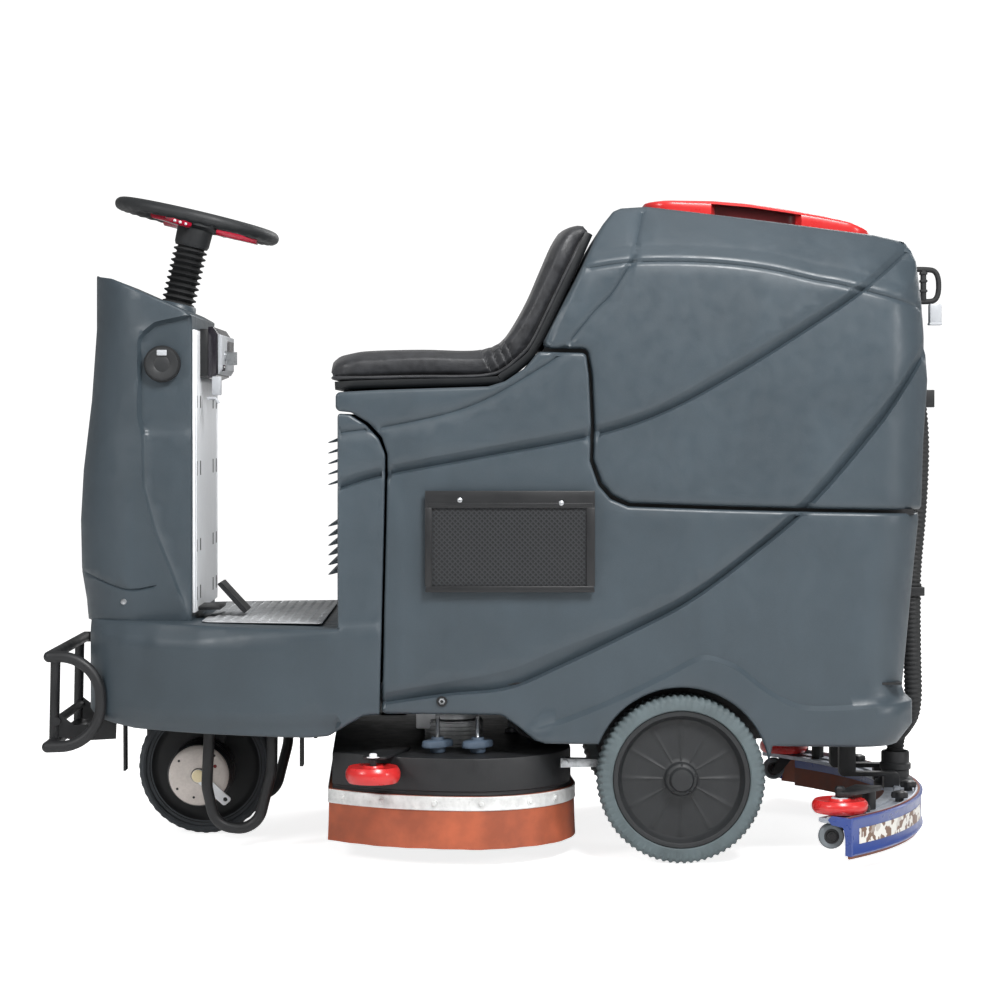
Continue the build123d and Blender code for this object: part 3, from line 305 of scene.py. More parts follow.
def moulding(name, outline, depth, body, material, lines=(), edge=7.0, grid=20.0, open_below=None, floor=None,
             mouth=None):
    """A hollow body drawn in side view: depth(x, z) gives its half width, edge rounds its rim, and lines
    are followed by the mesh so that grooves stay crisp. Below open_below it is a skirt with an inner skin.
    A mouth is (x0, x1, half width, lowest rim height, bottom height, closed)."""
    outline = spaced(outline, 12.0, closed=True)
    area = sum(a.x * b.y - b.x * a.y for a, b in zip(outline, outline[1:] + outline[:1]))
    if area < 0:
        outline.reverse()
    points, edges = [], []

    def add_line(line, closed, clear):
        flat = np.array([(p[0], p[1]) for p in line])
        ring = outline + outline[:1]
        kept = inside(flat[:, 0], flat[:, 1], outline)
        far = np.abs(signed_distance(flat[:, 0], flat[:, 1], ring)) >= clear
        previous, first = None, None
        for i, p in enumerate(line):
            if clear and not (kept[i] and far[i]):
                previous = None
                continue
            points.append((p[0], p[1]))
            now = len(points) - 1
            if previous is not None:
                edges.append((previous, now))
            elif i == 0:
                first = now
            previous = now
        if closed and first is not None and previous is not None:
            edges.append((previous, first))

    add_line(outline, True, 0)
    for share in (0.12, 0.42, 1.0):
        add_line(beside(outline + outline[:1], edge * share)[:-1], True, edge * share * 0.85)
    for line in lines:
        add_line(spaced([Vector(p) for p in line], 12.0), False, edge * 1.15)
    xs = [p.x for p in outline]
    zs = [p.y for p in outline]
    gx, gz = np.meshgrid(np.arange(min(xs) + 7, max(xs), grid), np.arange(min(zs) + 7, max(zs), grid))
    gx, gz = gx.ravel(), gz.ravel()
    taken = np.array(points)
    fit = inside(gx, gz, outline)
    for x, z in zip(gx[fit], gz[fit]):
        if np.min(np.hypot(taken[:, 0] - x, taken[:, 1] - z)) > grid * 0.42:
            points.append((x, z))
    flat, _, faces, *_ = geometry.delaunay_2d_cdt([Vector(p) for p in points], edges, [], 0, 0.05)
    co = np.array([(p[0], p[1]) for p in flat])
    middles = np.array([np.mean(co[list(f)], axis=0) for f in faces])
    keep = inside(middles[:, 0], middles[:, 1], outline)
    faces = [list(f) for f, k in zip(faces, keep) if k]
    x, z = co[:, 0], co[:, 1]
    rim = np.abs(signed_distance(x, z, outline + outline[:1]))
    y = depth(x, z) - corner_inset(rim, edge)
    count = len(co)
    near = [Vector((x[i], -y[i], z[i])) * MM for i in range(count)]
    far = [Vector((x[i], y[i], z[i])) * MM for i in range(count)]
    out = Build().add(near + far, faces + [[i + count for i in reversed(f)] for f in faces])
    used = {}
    for f in faces:
        for a, b in zip(f, f[1:] + f[:1]):
            used[(a, b)] = True
    border = [(a, b) for a, b in used if (b, a) not in used]
    strips, inner = [], []
    wall = 9.0
    for a, b in border:
        low = open_below is not None and open_below(0.5 * (co[a] + co[b]))
        (inner if low else strips).append((a, b))
    opened = []
    for a, b in strips:
        if mouth and all(mouth[0] < co[i][0] < mouth[1] and co[i][1] > mouth[3] for i in (a, b)):
            opened.append((a, b))
        else:
            out.faces.append((b, a, a + count, b + count))
    if opened:
        cut_mouth(out, co, count, opened, mouth[2], *mouth[4:])
    if inner:
        skirt = [f for f in faces if all(z[i] < floor + 4 for i in f)]
        inside_near = [Vector((x[i], -(y[i] - wall), z[i])) * MM for i in range(count)]
        inside_far = [Vector((x[i], y[i] - wall, z[i])) * MM for i in range(count)]
        base = len(out.verts)
        out.verts.extend(inside_near + inside_far)
        out.faces.extend(tuple(i + base for i in reversed(f)) for f in skirt)
        out.faces.extend(tuple(i + base + count for i in f) for f in skirt)
        for a, b in inner:
            out.faces.append((b, a, a + base, b + base))
            out.faces.append((a + count, b + count, b + base + count, a + base + count))
    verts, index, final = [], {}, []
    for f in out.faces:
        row = []
        for i in f:
            if i not in index:
                index[i] = len(verts)
                verts.append(out.verts[i])
            row.append(index[i])
        final.append(row)
    mesh = bpy.data.meshes.new(name)
    mesh.from_pydata([tuple(v) for v in verts], [], final)
    mesh.update()
    mesh.polygons.foreach_set("use_smooth", [True] * len(mesh.polygons))
    mesh.set_sharp_from_angle(angle=math.radians(48))
    mesh.materials.append(material)
    piece = bpy.data.objects.new(name, mesh)
    bpy.context.scene.collection.objects.link(piece)
    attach(piece, body)
    return piece


# ---- materials ----------------------------------------------------------------------------------
def srgb(r, g, b):
    def linear(c):
        c /= 255
        return c / 12.92 if c <= 0.04045 else ((c + 0.055) / 1.055) ** 2.4

    return (linear(r), linear(g), linear(b), 1.0)


def shade(colour, factor):
    return tuple(min(1.0, c * factor) for c in colour[:3]) + (1.0,)


class Nodes:
    """A small helper that writes a material's node tree."""

    def __init__(self, name):
        self.material = bpy.data.materials.new(name)
        self.material.use_nodes = True
        self.tree = self.material.node_tree
        self.shader = self.tree.nodes["Principled BSDF"]
        self.place = self.add("ShaderNodeTexCoord").outputs["Object"]

    def add(self, kind, **values):
        node = self.tree.nodes.new(kind)
        for key, value in values.items():
            if hasattr(node, key):
                setattr(node, key, value)
            else:
                node.inputs[key.replace("_", " ")].default_value = value
        return node

    def link(self, a, b):
        self.tree.links.new(a, b)

    def noise(self, scale, detail=4.0, stretch=None, rough=0.55):
        node = self.add("ShaderNodeTexNoise", Scale=scale, Detail=detail, Roughness=rough)
        place = self.place
        if stretch:
            mapping = self.add("ShaderNodeMapping")
            mapping.inputs["Scale"].default_value = stretch
            self.link(place, mapping.inputs["Vector"])
            place = mapping.outputs["Vector"]
        self.link(place, node.inputs["Vector"])
        return node.outputs["Fac"]

    def ramp(self, value, low, high, a, b):
        """Colour a below low, colour b above high."""
        node = self.add("ShaderNodeValToRGB")
        node.color_ramp.elements[0].position = low
        node.color_ramp.elements[1].position = high
        node.color_ramp.elements[0].color = a
        node.color_ramp.elements[1].color = b
        self.link(value, node.inputs["Fac"])
        return node.outputs["Color"]

    def spread(self, value, low, high, a, b):
        node = self.add("ShaderNodeMapRange")
        for key, number in (("From Min", low), ("From Max", high), ("To Min", a), ("To Max", b)):
            node.inputs[key].default_value = number
        self.link(value, node.inputs["Value"])
        return node.outputs["Result"]

    def mix(self, factor, a, b):
        node = self.add("ShaderNodeMix", data_type="RGBA")
        for socket, value in ((node.inputs["Factor"], factor), (node.inputs[6], a), (node.inputs[7], b)):
            if isinstance(value, (int, float, tuple)):
                socket.default_value = value
            else:
                self.link(value, socket)
        return node.outputs[2]

    def bump(self, *heights):
        """Stacks (height socket, strength, distance) bumps onto the shader's normal."""
        normal = None
        for height, strength, distance in heights:
            node = self.add("ShaderNodeBump", Strength=strength, Distance=distance)
            self.link(height, node.inputs["Height"])
            if normal:
                self.link(normal, node.inputs["Normal"])
            normal = node.outputs["Normal"]
        self.link(normal, self.shader.inputs["Normal"])

    def set(self, **values):
        for key, value in values.items():
            self.shader.inputs[key.replace("_", " ")].default_value = value
        return self


def plastic(name, colour, rough=0.45, vary=0.12, grain=900.0, grain_depth=0.00012, coat=0.0, blotch=6.0,
            dust=0.0):
    """Moulded plastic: cloudy colour, a fine surface grain and uneven gloss."""
    n = Nodes(name)
    cloud = n.noise(blotch, 5.0)
    speck = n.noise(grain, 2.0)
    base = n.ramp(cloud, 0.3, 0.7, shade(colour, 1 - vary), shade(colour, 1 + vary))
    fine = n.ramp(speck, 0.35, 0.7, shade(colour, 0.86), shade(colour, 1.14))
    base = n.mix(0.35, base, fine)
    if dust:
        streak = n.noise(14.0, 6.0, stretch=(1.0, 1.0, 0.25))
        base = n.mix(n.spread(streak, 0.52, 0.8, 0.0, dust), base, shade(colour, 1.9))
    n.link(base, n.shader.inputs["Base Color"])
    n.link(n.spread(n.noise(40.0, 3.0), 0.3, 0.7, rough - 0.06, rough + 0.08), n.shader.inputs["Roughness"])
    n.bump((speck, 0.35, grain_depth), (n.noise(130.0, 2.0), 0.12, 0.0006))
    n.set(Coat_Weight=coat, Coat_Roughness=0.18)
    return n.material


def metal(name, colour, rough=0.3, stretch=(1.0, 1.0, 1.0), worn=0.0, metallic=1.0):
    """Bare or plated metal with fine scratches and a few dull spots."""
    n = Nodes(name)
    lines = n.noise(260.0, 3.0, stretch=stretch)
    spots = n.noise(55.0, 5.0)
    base = n.ramp(spots, 0.35, 0.7, shade(colour, 0.82), shade(colour, 1.08))
    if worn:
        base = n.mix(n.spread(n.noise(90.0, 8.0), 0.56, 0.72, 0.0, worn), base, shade(colour, 0.35))
    n.link(base, n.shader.inputs["Base Color"])
    n.link(n.spread(lines, 0.3, 0.7, rough - 0.08, rough + 0.14), n.shader.inputs["Roughness"])
    n.bump((lines, 0.2, 0.0002))
    n.set(Metallic=metallic)
    return n.material


def rubber(name, colour, rough=0.7, grain=500.0):
    """Rubber with a matt, slightly dusty skin."""
    n = Nodes(name)
    cloud = n.noise(22.0, 6.0)
    fine = n.noise(grain, 3.0)
    base = n.ramp(cloud, 0.35, 0.75, shade(colour, 0.8), shade(colour, 1.3))
    n.link(base, n.shader.inputs["Base Color"])
    n.link(n.spread(cloud, 0.3, 0.7, rough - 0.1, rough + 0.1), n.shader.inputs["Roughness"])
    n.bump((fine, 0.4, 0.0003))
    return n.material


def leather(name, colour):
    """Grained vinyl: small pebbles, fine creases and a soft gloss."""
    n = Nodes(name)
    pebble = n.add("ShaderNodeTexVoronoi", Scale=620.0)
    n.link(n.place, pebble.inputs["Vector"])
    crease = n.noise(60.0, 6.0)
    base = n.ramp(crease, 0.35, 0.7, shade(colour, 0.75), shade(colour, 1.35))
    n.link(base, n.shader.inputs["Base Color"])
    n.link(n.spread(crease, 0.3, 0.7, 0.36, 0.55), n.shader.inputs["Roughness"])
    n.bump((pebble.outputs["Distance"], 0.35, 0.0005), (crease, 0.25, 0.0015))
    n.set(Sheen_Weight=0.12, Sheen_Roughness=0.45)
    return n.material


def net_cloth(name):
    """Open black net: crossing threads with dark gaps."""
    n = Nodes(name)
    cross = []
    for turn in (45, -45):
        mapping = n.add("ShaderNodeMapping")
        mapping.inputs["Rotation"].default_value = (0, math.radians(turn), 0)
        n.link(n.place, mapping.inputs["Vector"])
        wave = n.add("ShaderNodeTexWave", Scale=48.0, Distortion=0.4)
        n.link(mapping.outputs["Vector"], wave.inputs["Vector"])
        cross.append(wave.outputs["Fac"])
    both = n.add("ShaderNodeMath", operation="MAXIMUM")
    n.link(cross[0], both.inputs[0])
    n.link(cross[1], both.inputs[1])
    n.link(n.ramp(both.outputs[0], 0.62, 0.95, srgb(17, 18, 20), srgb(38, 40, 43)),
           n.shader.inputs["Base Color"])
    n.bump((both.outputs[0], 0.6, 0.0008))
    n.set(Roughness=0.8)
    return n.material


def label_print(name):
    """A plain sticker: pale ground with a few brown and dark patches, no lettering."""
    n = Nodes(name)
    cells = n.add("ShaderNodeTexVoronoi", Scale=75.0, distance="CHEBYCHEV")
    n.link(n.place, cells.inputs["Vector"])
    patches = n.ramp(cells.outputs["Color"], 0.45, 0.55, srgb(216, 214, 208), srgb(112, 84, 66))
    n.link(patches, n.shader.inputs["Base Color"])
    n.link(n.spread(n.noise(60.0), 0.3, 0.7, 0.35, 0.5), n.shader.inputs["Roughness"])
    return n.material


BODY_GREY = srgb(58, 68, 75)
BLACK = srgb(26, 27, 29)
M = {
    "body": plastic("body_polyethylene", BODY_GREY, 0.40, 0.16, 700.0, 0.00022, dust=0.16),
    "black": plastic("black_plastic", BLACK, 0.42, 0.2),
    "gloss": plastic("gloss_black_plastic", srgb(30, 26, 34), 0.16, 0.1, coat=0.6, grain_depth=0.00002),
    "grain_black": plastic("grained_black_plastic", srgb(32, 34, 36), 0.55, 0.2, 420.0, 0.0005),
    "white": plastic("white_enamel", srgb(228, 230, 233), 0.35, 0.03, grain_depth=0.00003),
    "pale": plastic("pale_grey_plastic", srgb(176, 179, 183), 0.4, 0.06),
    "red": plastic("red_plastic", srgb(200, 38, 38), 0.3, 0.08, coat=0.35, grain_depth=0.00006),
    # Dark red for the hinge pins and the brake cover's plug, and also painted shade on the lid's grip recess.
    "dark_red_and_grip_shade": plastic("darker_red_plastic_and_grip_shade", srgb(112, 18, 22), 0.4, 0.1),
    "crimson": plastic("crimson_plastic", srgb(170, 20, 48), 0.25, 0.08, coat=0.4),
    "blue": plastic("blue_plastic", srgb(36, 62, 132), 0.32, 0.12, coat=0.3),
    "cover": plastic("brake_cover_paint", srgb(196, 188, 182), 0.42, 0.14, 300.0, 0.0002, blotch=30.0),
    "cream": plastic("cream_plastic", srgb(222, 208, 170), 0.4, 0.06),
    "knob": plastic("blue_grey_plastic", srgb(78, 92, 108), 0.45, 0.15),
    "seat": leather("seat_vinyl", srgb(40, 41, 44)),
    "tyre": rubber("grey_tyre_rubber", srgb(82, 93, 96)),
    "black_rubber": rubber("black_rubber", srgb(30, 31, 32)),
    "front_tyre": rubber("dark_tyre_rubber", srgb(62, 66, 70)),
    "gum": rubber("gum_rubber", srgb(158, 80, 52), 0.6),
    "brown": rubber("brown_rubber", srgb(120, 62, 40), 0.6),
    "roller_grey": rubber("grey_roller", srgb(104, 110, 114)),
    "bristle": rubber("bristle", srgb(60, 62, 66), 0.6, 1500.0),
    "steel": metal("zinc_steel", srgb(190, 193, 196), 0.32, (1.0, 1.0, 6.0), 0.5),
    "cast": metal("cast_aluminium", srgb(176, 178, 180), 0.42, (1.0, 1.0, 1.0), 0.35),
    "strap": metal("strap_steel", srgb(226, 227, 226), 0.5, (0.4, 0.4, 6.0), 0.25, 0.35),
    "black_steel": plastic("black_powder_coat", srgb(27, 28, 30), 0.5, 0.12, 380.0, 0.0002),
    "chassis": plastic("chassis_paint", srgb(44, 47, 50), 0.5, 0.15, 300.0, 0.0002),
    "battery": plastic("battery_case", srgb(40, 42, 46), 0.5, 0.1),
    "pale_steel": metal("pale_painted_steel", srgb(170, 176, 186), 0.4, (1.0, 1.0, 3.0), 0.3, 0.5),
    "tread": metal("tread_aluminium", srgb(214, 216, 218), 0.42, (1.0, 5.0, 1.0), 0.2, 0.6),
    "net": net_cloth("pocket_net"),
    "label": label_print("band_label"),
}


# ---- camera, floor and light --------------------------------------------------------------------
CAMERA = Vector((-0.038, -4.75, 0.767))
FOCAL = 2546.0                # focal length over the width of one picture point, for 1000 across
SHIFT = (0.024, -0.08)
SENSOR = 36.0                 # width of the camera's sensor in millimetres
FLOOR_HALF = 14.0             # half width of the floor in metres
FLOOR_GLOW = (0.84, 0.12)     # strength seen by the camera, strength cast as light
WORLD_GLOW = (1.1, 0.27)
LAMP_TARGET = (0, 0, 0.5)


def seen_as(tree, seen, cast, target):
    """Gives a light's strength one value for the eye and another for the light it casts."""
    rays = tree.nodes.new("ShaderNodeLightPath")
    glow = tree.nodes.new("ShaderNodeMapRange")
    glow.inputs["To Min"].default_value, glow.inputs["To Max"].default_value = cast, seen
    tree.links.new(rays.outputs["Is Camera Ray"], glow.inputs["Value"])
    tree.links.new(glow.outputs["Result"], target)


def make_stage():
    camera = bpy.data.objects.new("camera", bpy.data.cameras.new("camera"))
    camera.data.sensor_width = SENSOR
    camera.data.lens = FOCAL / 1000 * SENSOR
    camera.data.shift_x, camera.data.shift_y = SHIFT
    camera.location = CAMERA
    camera.rotation_euler = (math.radians(90), 0, 0)
    bpy.context.scene.collection.objects.link(camera)
    bpy.context.scene.camera = camera
    mesh = bpy.data.meshes.new("floor")
    corners = [(-FLOOR_HALF, -FLOOR_HALF, 0), (FLOOR_HALF, -FLOOR_HALF, 0),
               (FLOOR_HALF, FLOOR_HALF, 0), (-FLOOR_HALF, FLOOR_HALF, 0)]
    mesh.from_pydata(corners, [], [(0, 1, 2, 3)])
    n = Nodes("floor")
    n.set(Base_Color=(0.8, 0.8, 0.8, 1.0), Roughness=0.9, Emission_Color=(1.0, 1.0, 1.0, 1.0))
    seen_as(n.tree, *FLOOR_GLOW, n.shader.inputs["Emission Strength"])
    mesh.materials.append(n.material)
    floor = bpy.data.objects.new("floor", mesh)
    bpy.context.scene.collection.objects.link(floor)
    world = bpy.data.worlds.new("studio")
    world.use_nodes = True
    background = world.node_tree.nodes["Background"]
    background.inputs["Color"].default_value = (1.0, 1.0, 1.0, 1.0)
    seen_as(world.node_tree, *WORLD_GLOW, background.inputs["Strength"])
    bpy.context.scene.world = world
    lights = (
        ("key", (0.9, -2.3, 2.8), 1.0, 118.0),
        ("front", (-3.0, -2.8, 2.4), 1.0, 55.0),
        ("glint", (4.0, -2.4, 1.5), 0.6, 34.0),
        ("top", (0.2, 0.3, 4.2), 2.6, 18.0),
        ("rear", (2.4, 3.6, 2.6), 2.4, 80.0),
    )
    for name, place, size, power in lights:
        data = bpy.data.lights.new(name, "AREA")
        data.energy, data.size = power, size
        lamp = bpy.data.objects.new(name, data)
        lamp.location = place
        lamp.rotation_mode = "QUATERNION"
        lamp.rotation_quaternion = (Vector(place) - Vector(LAMP_TARGET)).to_track_quat("Z", "Y")
        bpy.context.scene.collection.objects.link(lamp)
    bpy.context.scene.view_settings.view_transform = "Standard"


make_stage()


# ---- moulded bodies -----------------------------------------------------------------------------
HALF = 360.0                  # half width of the body
WHEEL = (317.0, 152.0, 153.0)  # wheel arch: x, z and radius
GROOVE_STEP = 3.5             # width of the step at a groove's lower edge


def arch(x0, x1):
    """The wheel arch from its front foot to its rear one."""
    cx, cz, r = WHEEL
    first = math.atan2(math.sqrt(r ** 2 - (x0 - cx) ** 2), x0 - cx)
    last = math.atan2(math.sqrt(r ** 2 - (x1 - cx) ** 2), x1 - cx)
    return [Vector((cx + r * math.cos(first + (last - first) * k / 28),
                    cz + r * math.sin(first + (last - first) * k / 28))) for k in range(29)]


# Long styling lines that run across both mouldings, from front to rear.
BELT_TOP = curve_through([(-300, 664), (-271, 669), (-201, 688), (-30, 720), (159, 757), (283, 798),
                          (415, 873), (547, 952), (634, 1009), (700, 1064)], 12)
BELT_LOW = curve_through([(-300, 641), (-271, 646), (-201, 667), (-30, 699), (159, 735), (283, 775),
                          (415, 845), (547, 928), (634, 988), (735, 1070)], 12)
SWEEP_TOP = curve_through([(-300, 268), (-202, 295), (-86, 316), (17, 336), (107, 373), (239, 426),
                           (327, 470), (415, 532), (515, 618), (634, 758), (696, 833), (762, 935)], 12)
SWEEP_LOW = curve_through([(-300, 262), (-202, 274), (-86, 290), (17, 301), (107, 338), (243, 403),
                           (336, 453), (441, 531), (547, 622), (657, 750), (714, 829), (775, 915)], 12)
SHOULDER = curve_through([(30, 760), (60, 835), (139, 1029)], 12)[:-1] + curve_through(
    [(139, 1029), (231, 1042), (356, 1042), (462, 1031), (551, 1011), (608, 1000), (780, 955)], 12)
CREASE = curve_through([(-300, 738), (-271, 745), (-201, 754), (-95, 776), (-24, 801), (46, 840), (102, 876),
                        (122, 900), (169, 957), (195, 983), (226, 1031), (236, 1050), (262, 1160)], 12)
SKIRT = curve_through([(30, 229), (107, 250), (195, 285), (283, 327), (330, 352), (356, 361), (380, 357),
                       (415, 343), (459, 308), (503, 283), (547, 273), (640, 277), (740, 284)], 12)


def trough(x, z, top, low):
    """0 outside two lines; between them it deepens from the upper one to 1, with a step at the lower one."""
    below, above = -signed_distance(x, z, top), signed_distance(x, z, low)
    inside_band = (below > 0) & (above > 0)
    share = np.clip(below, 0, None) / np.maximum(np.clip(below, 0, None) + np.clip(above, 0, None), 1e-6)
    return np.where(inside_band, share * soft_step(above / GROOVE_STEP), 0.0)


def styling(x, z):
    """How far the styling lines move the side of the body out, in millimetres."""
    fade = soft_step((x + 300) / 200) * 0.5 + 0.5
    relief = -15.0 * trough(x, z, BELT_TOP, BELT_LOW) - 16.5 * trough(x, z, SWEEP_TOP, SWEEP_LOW) * fade
    relief -= 6.5 * np.exp(-(signed_distance(x, z, CREASE) / 4.5) ** 2)
    relief += 9.0 * soft_step(-signed_distance(x, z, SKIRT) / 8.0) * soft_step((x - 30) / 60)
    return relief - 9.0


STYLING_LINES = [SWEEP_TOP, beside(SWEEP_TOP, -2.5), beside(SWEEP_LOW, GROOVE_STEP + 2.5),
                 beside(SWEEP_LOW, GROOVE_STEP), SWEEP_LOW, BELT_TOP, beside(BELT_TOP, -2.5),
                 beside(BELT_LOW, GROOVE_STEP + 2.5), beside(BELT_LOW, GROOVE_STEP), BELT_LOW,
                 CREASE, beside(CREASE, -7.0), beside(CREASE, 7.0), SKIRT, beside(SKIRT, -4.0),
                 beside(SKIRT, -8.0)]


def rear_line(points):
    """x of a body's rear edge at each height, from (x, z) points going up."""
    heights, places = [p[1] for p in points], [p[0] for p in points]
    return lambda z: np.interp(z, heights, places)


def lower_depth(x, z):
    rear = rear_line([(702, 201), (729, 236), (729, 276), (717, 288), (713, 300), (728, 457), (743, 603)])
    return HALF + styling(x, z) - corner_inset(rear(z) - x, 96.0)


def upper_depth(x, z):
    rear = rear_line([(750, 608), (754, 732), (759, 802), (761, 838), (754, 926), (750, 979), (741, 1046),
                      (724, 1085)])
    above = signed_distance(x, z, SHOULDER)
    sloped = np.where(z > 900, above, 0.0)
    slope = np.where(sloped > 12, sloped - 6, np.where(sloped > 0, sloped ** 2 / 24, 0.0))
    groove = (4.5 * np.exp(-((above + 2) / 3.2) ** 2) * (x > 60)
              + 1.8 * np.exp(-((above - 26) / 3.5) ** 2) * (x > 139))
    lean = 10.0 * soft_step((z - 860) / 220)
    plan = HALF - 2 - corner_inset(rear(z) - x, 112.0)
    wide = HALF - 2 - lean - 0.86 * slope
    blend = np.clip(0.5 + (plan - wide) / 36.0, 0, 1)
    least = plan * (1 - blend) + wide * blend - 9.0 * blend * (1 - blend)
    return least + styling(x, z) - groove * (z > 900)


def lower_body():
    seam = [(743, 604), (524, 608), (371, 612), (226, 617), (195, 630), (174, 654), (159, 696), (161, 760),
            (157, 845), (152, 883), (70, 885)]
    top = [(48, 858), (12, 834), (-17, 825), (-206, 819), (-281, 815)]
    leg = [(-281, 783), (-254, 780), (-224, 762), (-201, 737), (-191, 707), (-193, 595), (-201, 259)]
    low = [(3, 257), (12, 253), (38, 234), (63, 214), (81, 208), (172, 207)]
    rear = [(474, 204), (702, 201), (729, 236), (729, 276), (716, 288), (714, 300), (728, 457)]
    outline = (rounded([Vector(p) for p in seam + top + leg + low], 9.0, closed=False) + arch(174, 468)
               + rounded([Vector(p) for p in rear], 7.0, closed=False))
    piece = moulding("lower_body", outline, lower_depth, "root", M["body"], STYLING_LINES, 6.0, 22.0,
                     lambda p: p[1] < 312 and p[0] < 704, 308.0, (-196, -22, 200, 800, 556, False))
    # Black floor and wheel-well walls close the body from below: painted shade inside the wheel arch and
    # under the body.
    closing = Build().box((-0.202, -0.338, 0.308), (0.70, 0.338, 0.312))
    closing.box((0.697, -0.26, 0.206), (0.704, 0.26, 0.312))
    for side in (-1, 1):
        y0, y1 = sorted((side * 0.262, side * 0.266))
        closing.box((0.150, y0, 0.206), (0.484, y1, 0.310))
    floor = closing.done("lower_body_shade_liner", "root", M["black"])
    # A black filler deep inside the seam between the two mouldings: painted shade, so the gap reads dark.
    gap = [(724, 602), (524, 606), (371, 610), (226, 615), (193, 628), (172, 652), (157, 695), (159, 760),
           (155, 845), (150, 881), (76, 883), (82, 893), (157, 893), (165, 846), (169, 760), (167, 699),
           (182, 660), (199, 639), (229, 625), (371, 620), (524, 616), (724, 612)]
    seam_shade = Build().prism([Vector(point) for point in gap], -0.322, 0.322)
    seam_shade.done("seam_shade_filler", "root", M["black"])
    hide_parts("solution_tank")


def upper_body():
    front = [(725, 1081), (667, 1094), (263, 1144), (218, 1141), (204, 1135), (185, 1111), (172, 1087),
             (147, 1034), (74, 891)]
    seam = [(155, 891), (163, 846), (167, 760), (165, 698), (180, 658), (198, 637), (228, 623), (371, 618),
            (524, 614), (750, 610)]
    rear = [(754, 732), (759, 802), (761, 838), (754, 926), (750, 979), (741, 1046)]
    outline = rounded([Vector(p) for p in front + seam + rear], 12.0)
    lines = STYLING_LINES + [beside(SHOULDER, step) for step in (-10.0, -6.0, -2.0, 2.0, 6.0, 12.0, 22.0,
                                                                 26.0, 30.0)]
    piece = moulding("upper_body", outline, upper_depth, "root", M["body"], lines, 9.0, 22.0,
                     mouth=(300, 632, 161, 1080, 660, True))
    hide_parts("recovery_tank")


DECK_TOP = 409.0
RIDGE = curve_through([(-745, 388), (-706, 384), (-566, 374), (-466, 382), (-292, 398), (-180, 404)], 12)
TUCK = curve_through([(-180, 268), (-279, 258), (-499, 248), (-640, 243), (-745, 246)], 12)


def platform_depth(x, z):
    """Half width of the foot moulding, narrower towards its rounded front."""
    places = [-738, -733, -722, -705, -660, -600, -520, -440, -370, -320, -290, -200]
    widths = [128, 158, 182, 204, 238, 276, 315, 340, 351, 355, 356, 356]
    width = np.interp(x, places, widths)
    platform = x < -276
    shoulder = np.clip(signed_distance(x, z, RIDGE), 0, None)
    tuck = np.clip(signed_distance(x, z, TUCK), 0, None)
    width = width - np.where(platform & (z > 300), np.minimum(shoulder * 0.55, 16.0), 0.0)
    width = width - np.where(platform & (z < 300), np.minimum(tuck * 0.7, 14.0), 0.0)
    leg = soft_step((x + 284) / 12) * soft_step((z - 400) / 20)
    return width * (1 - leg) + (HALF - 2 + styling(x, z)) * leg


def footwell():
    outline = rounded(
        [(-738, 250), (-716, 234), (-686, 226), (-643, 220), (-328, 216), (-293, 219), (-262, 239),
         (-232, 256), (-205, 258), (-197, 595), (-195, 707), (-206, 734), (-228, 758), (-256, 776),
         (-278, 779), (-278, 406), (-293, 405), (-600, DECK_TOP), (-738, DECK_TOP)],
        [10, 20, 20, 40, 40, 20, 15, 15, 3, 3, 20, 20, 20, 14, 6, 3, 20, 20, 9])
    ledge = [beside(RIDGE, amount) for amount in (0, 10, 20)] + [beside(TUCK, amount) for amount in (0, 14)]
    front = [[Vector((x, 225)), Vector((x, 410))] for x in (-734, -729, -722, -714, -705, -692, -676)]
    piece = moulding("footwell", outline, platform_depth, "root", M["body"],
                     ledge + front + STYLING_LINES, 5.0, 20.0, lambda p: p[1] < 262, 396.0)
    ceiling = Build().prism([(-728, -110), (-700, -180), (-520, -290), (-330, -335), (-285, -335),
                             (-285, 335), (-330, 335), (-520, 290), (-700, 180), (-728, 110)], 0.394,
                            0.397, plane="xy")
    ceiling = ceiling.done("footwell_ceiling", "root", M["body"])
    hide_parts("footwell_body")


# ---- steering column ----------------------------------------------------------------------------
COLUMN_HALF = 210.0
RECESS = rounded([(-530, 960), (-612, 942), (-643, 917), (-643, 771), (-636, 744), (-634, 649), (-612, 565),
                  (-583, 493), (-556, 421), (-530, 405)], [5, 24, 30, 30, 40, 80, 80, 80, 20, 0])
COLUMN_CUT = curve_through([(-780, 497), (-744, 492), (-664, 464), (-606, 470)], 10)


def column_front(z):
    return rear_line([(-744, 367), (-749, 440), (-758, 494), (-760, 585), (-755, 676), (-740, 803),
                      (-731, 931), (-731, 1031)])(z)


def column_depth(x, z):
    front = column_front(z)
    depth = COLUMN_HALF - corner_inset(x - front, 118.0)
    ring = RECESS + RECESS[:1]
    into = np.abs(signed_distance(x, z, ring)) * inside(x, z, RECESS)
    upper = soft_step((z - 741) / 7.0)
    depth = depth - (6.5 + 4.5 * upper) * soft_step(into / 7.0) * soft_step((z - 404) / 60)
    ridge = np.abs(signed_distance(x, z, RECESS[:-1]))
    depth = depth + 2.0 * np.exp(-(ridge / 7.0) ** 2) * (z > 430)
    cut = np.abs(signed_distance(x, z, COLUMN_CUT))
    depth = depth - 3.6 * soft_step(1 - cut / 3.0) * (x < -606)
    return depth - 3.0


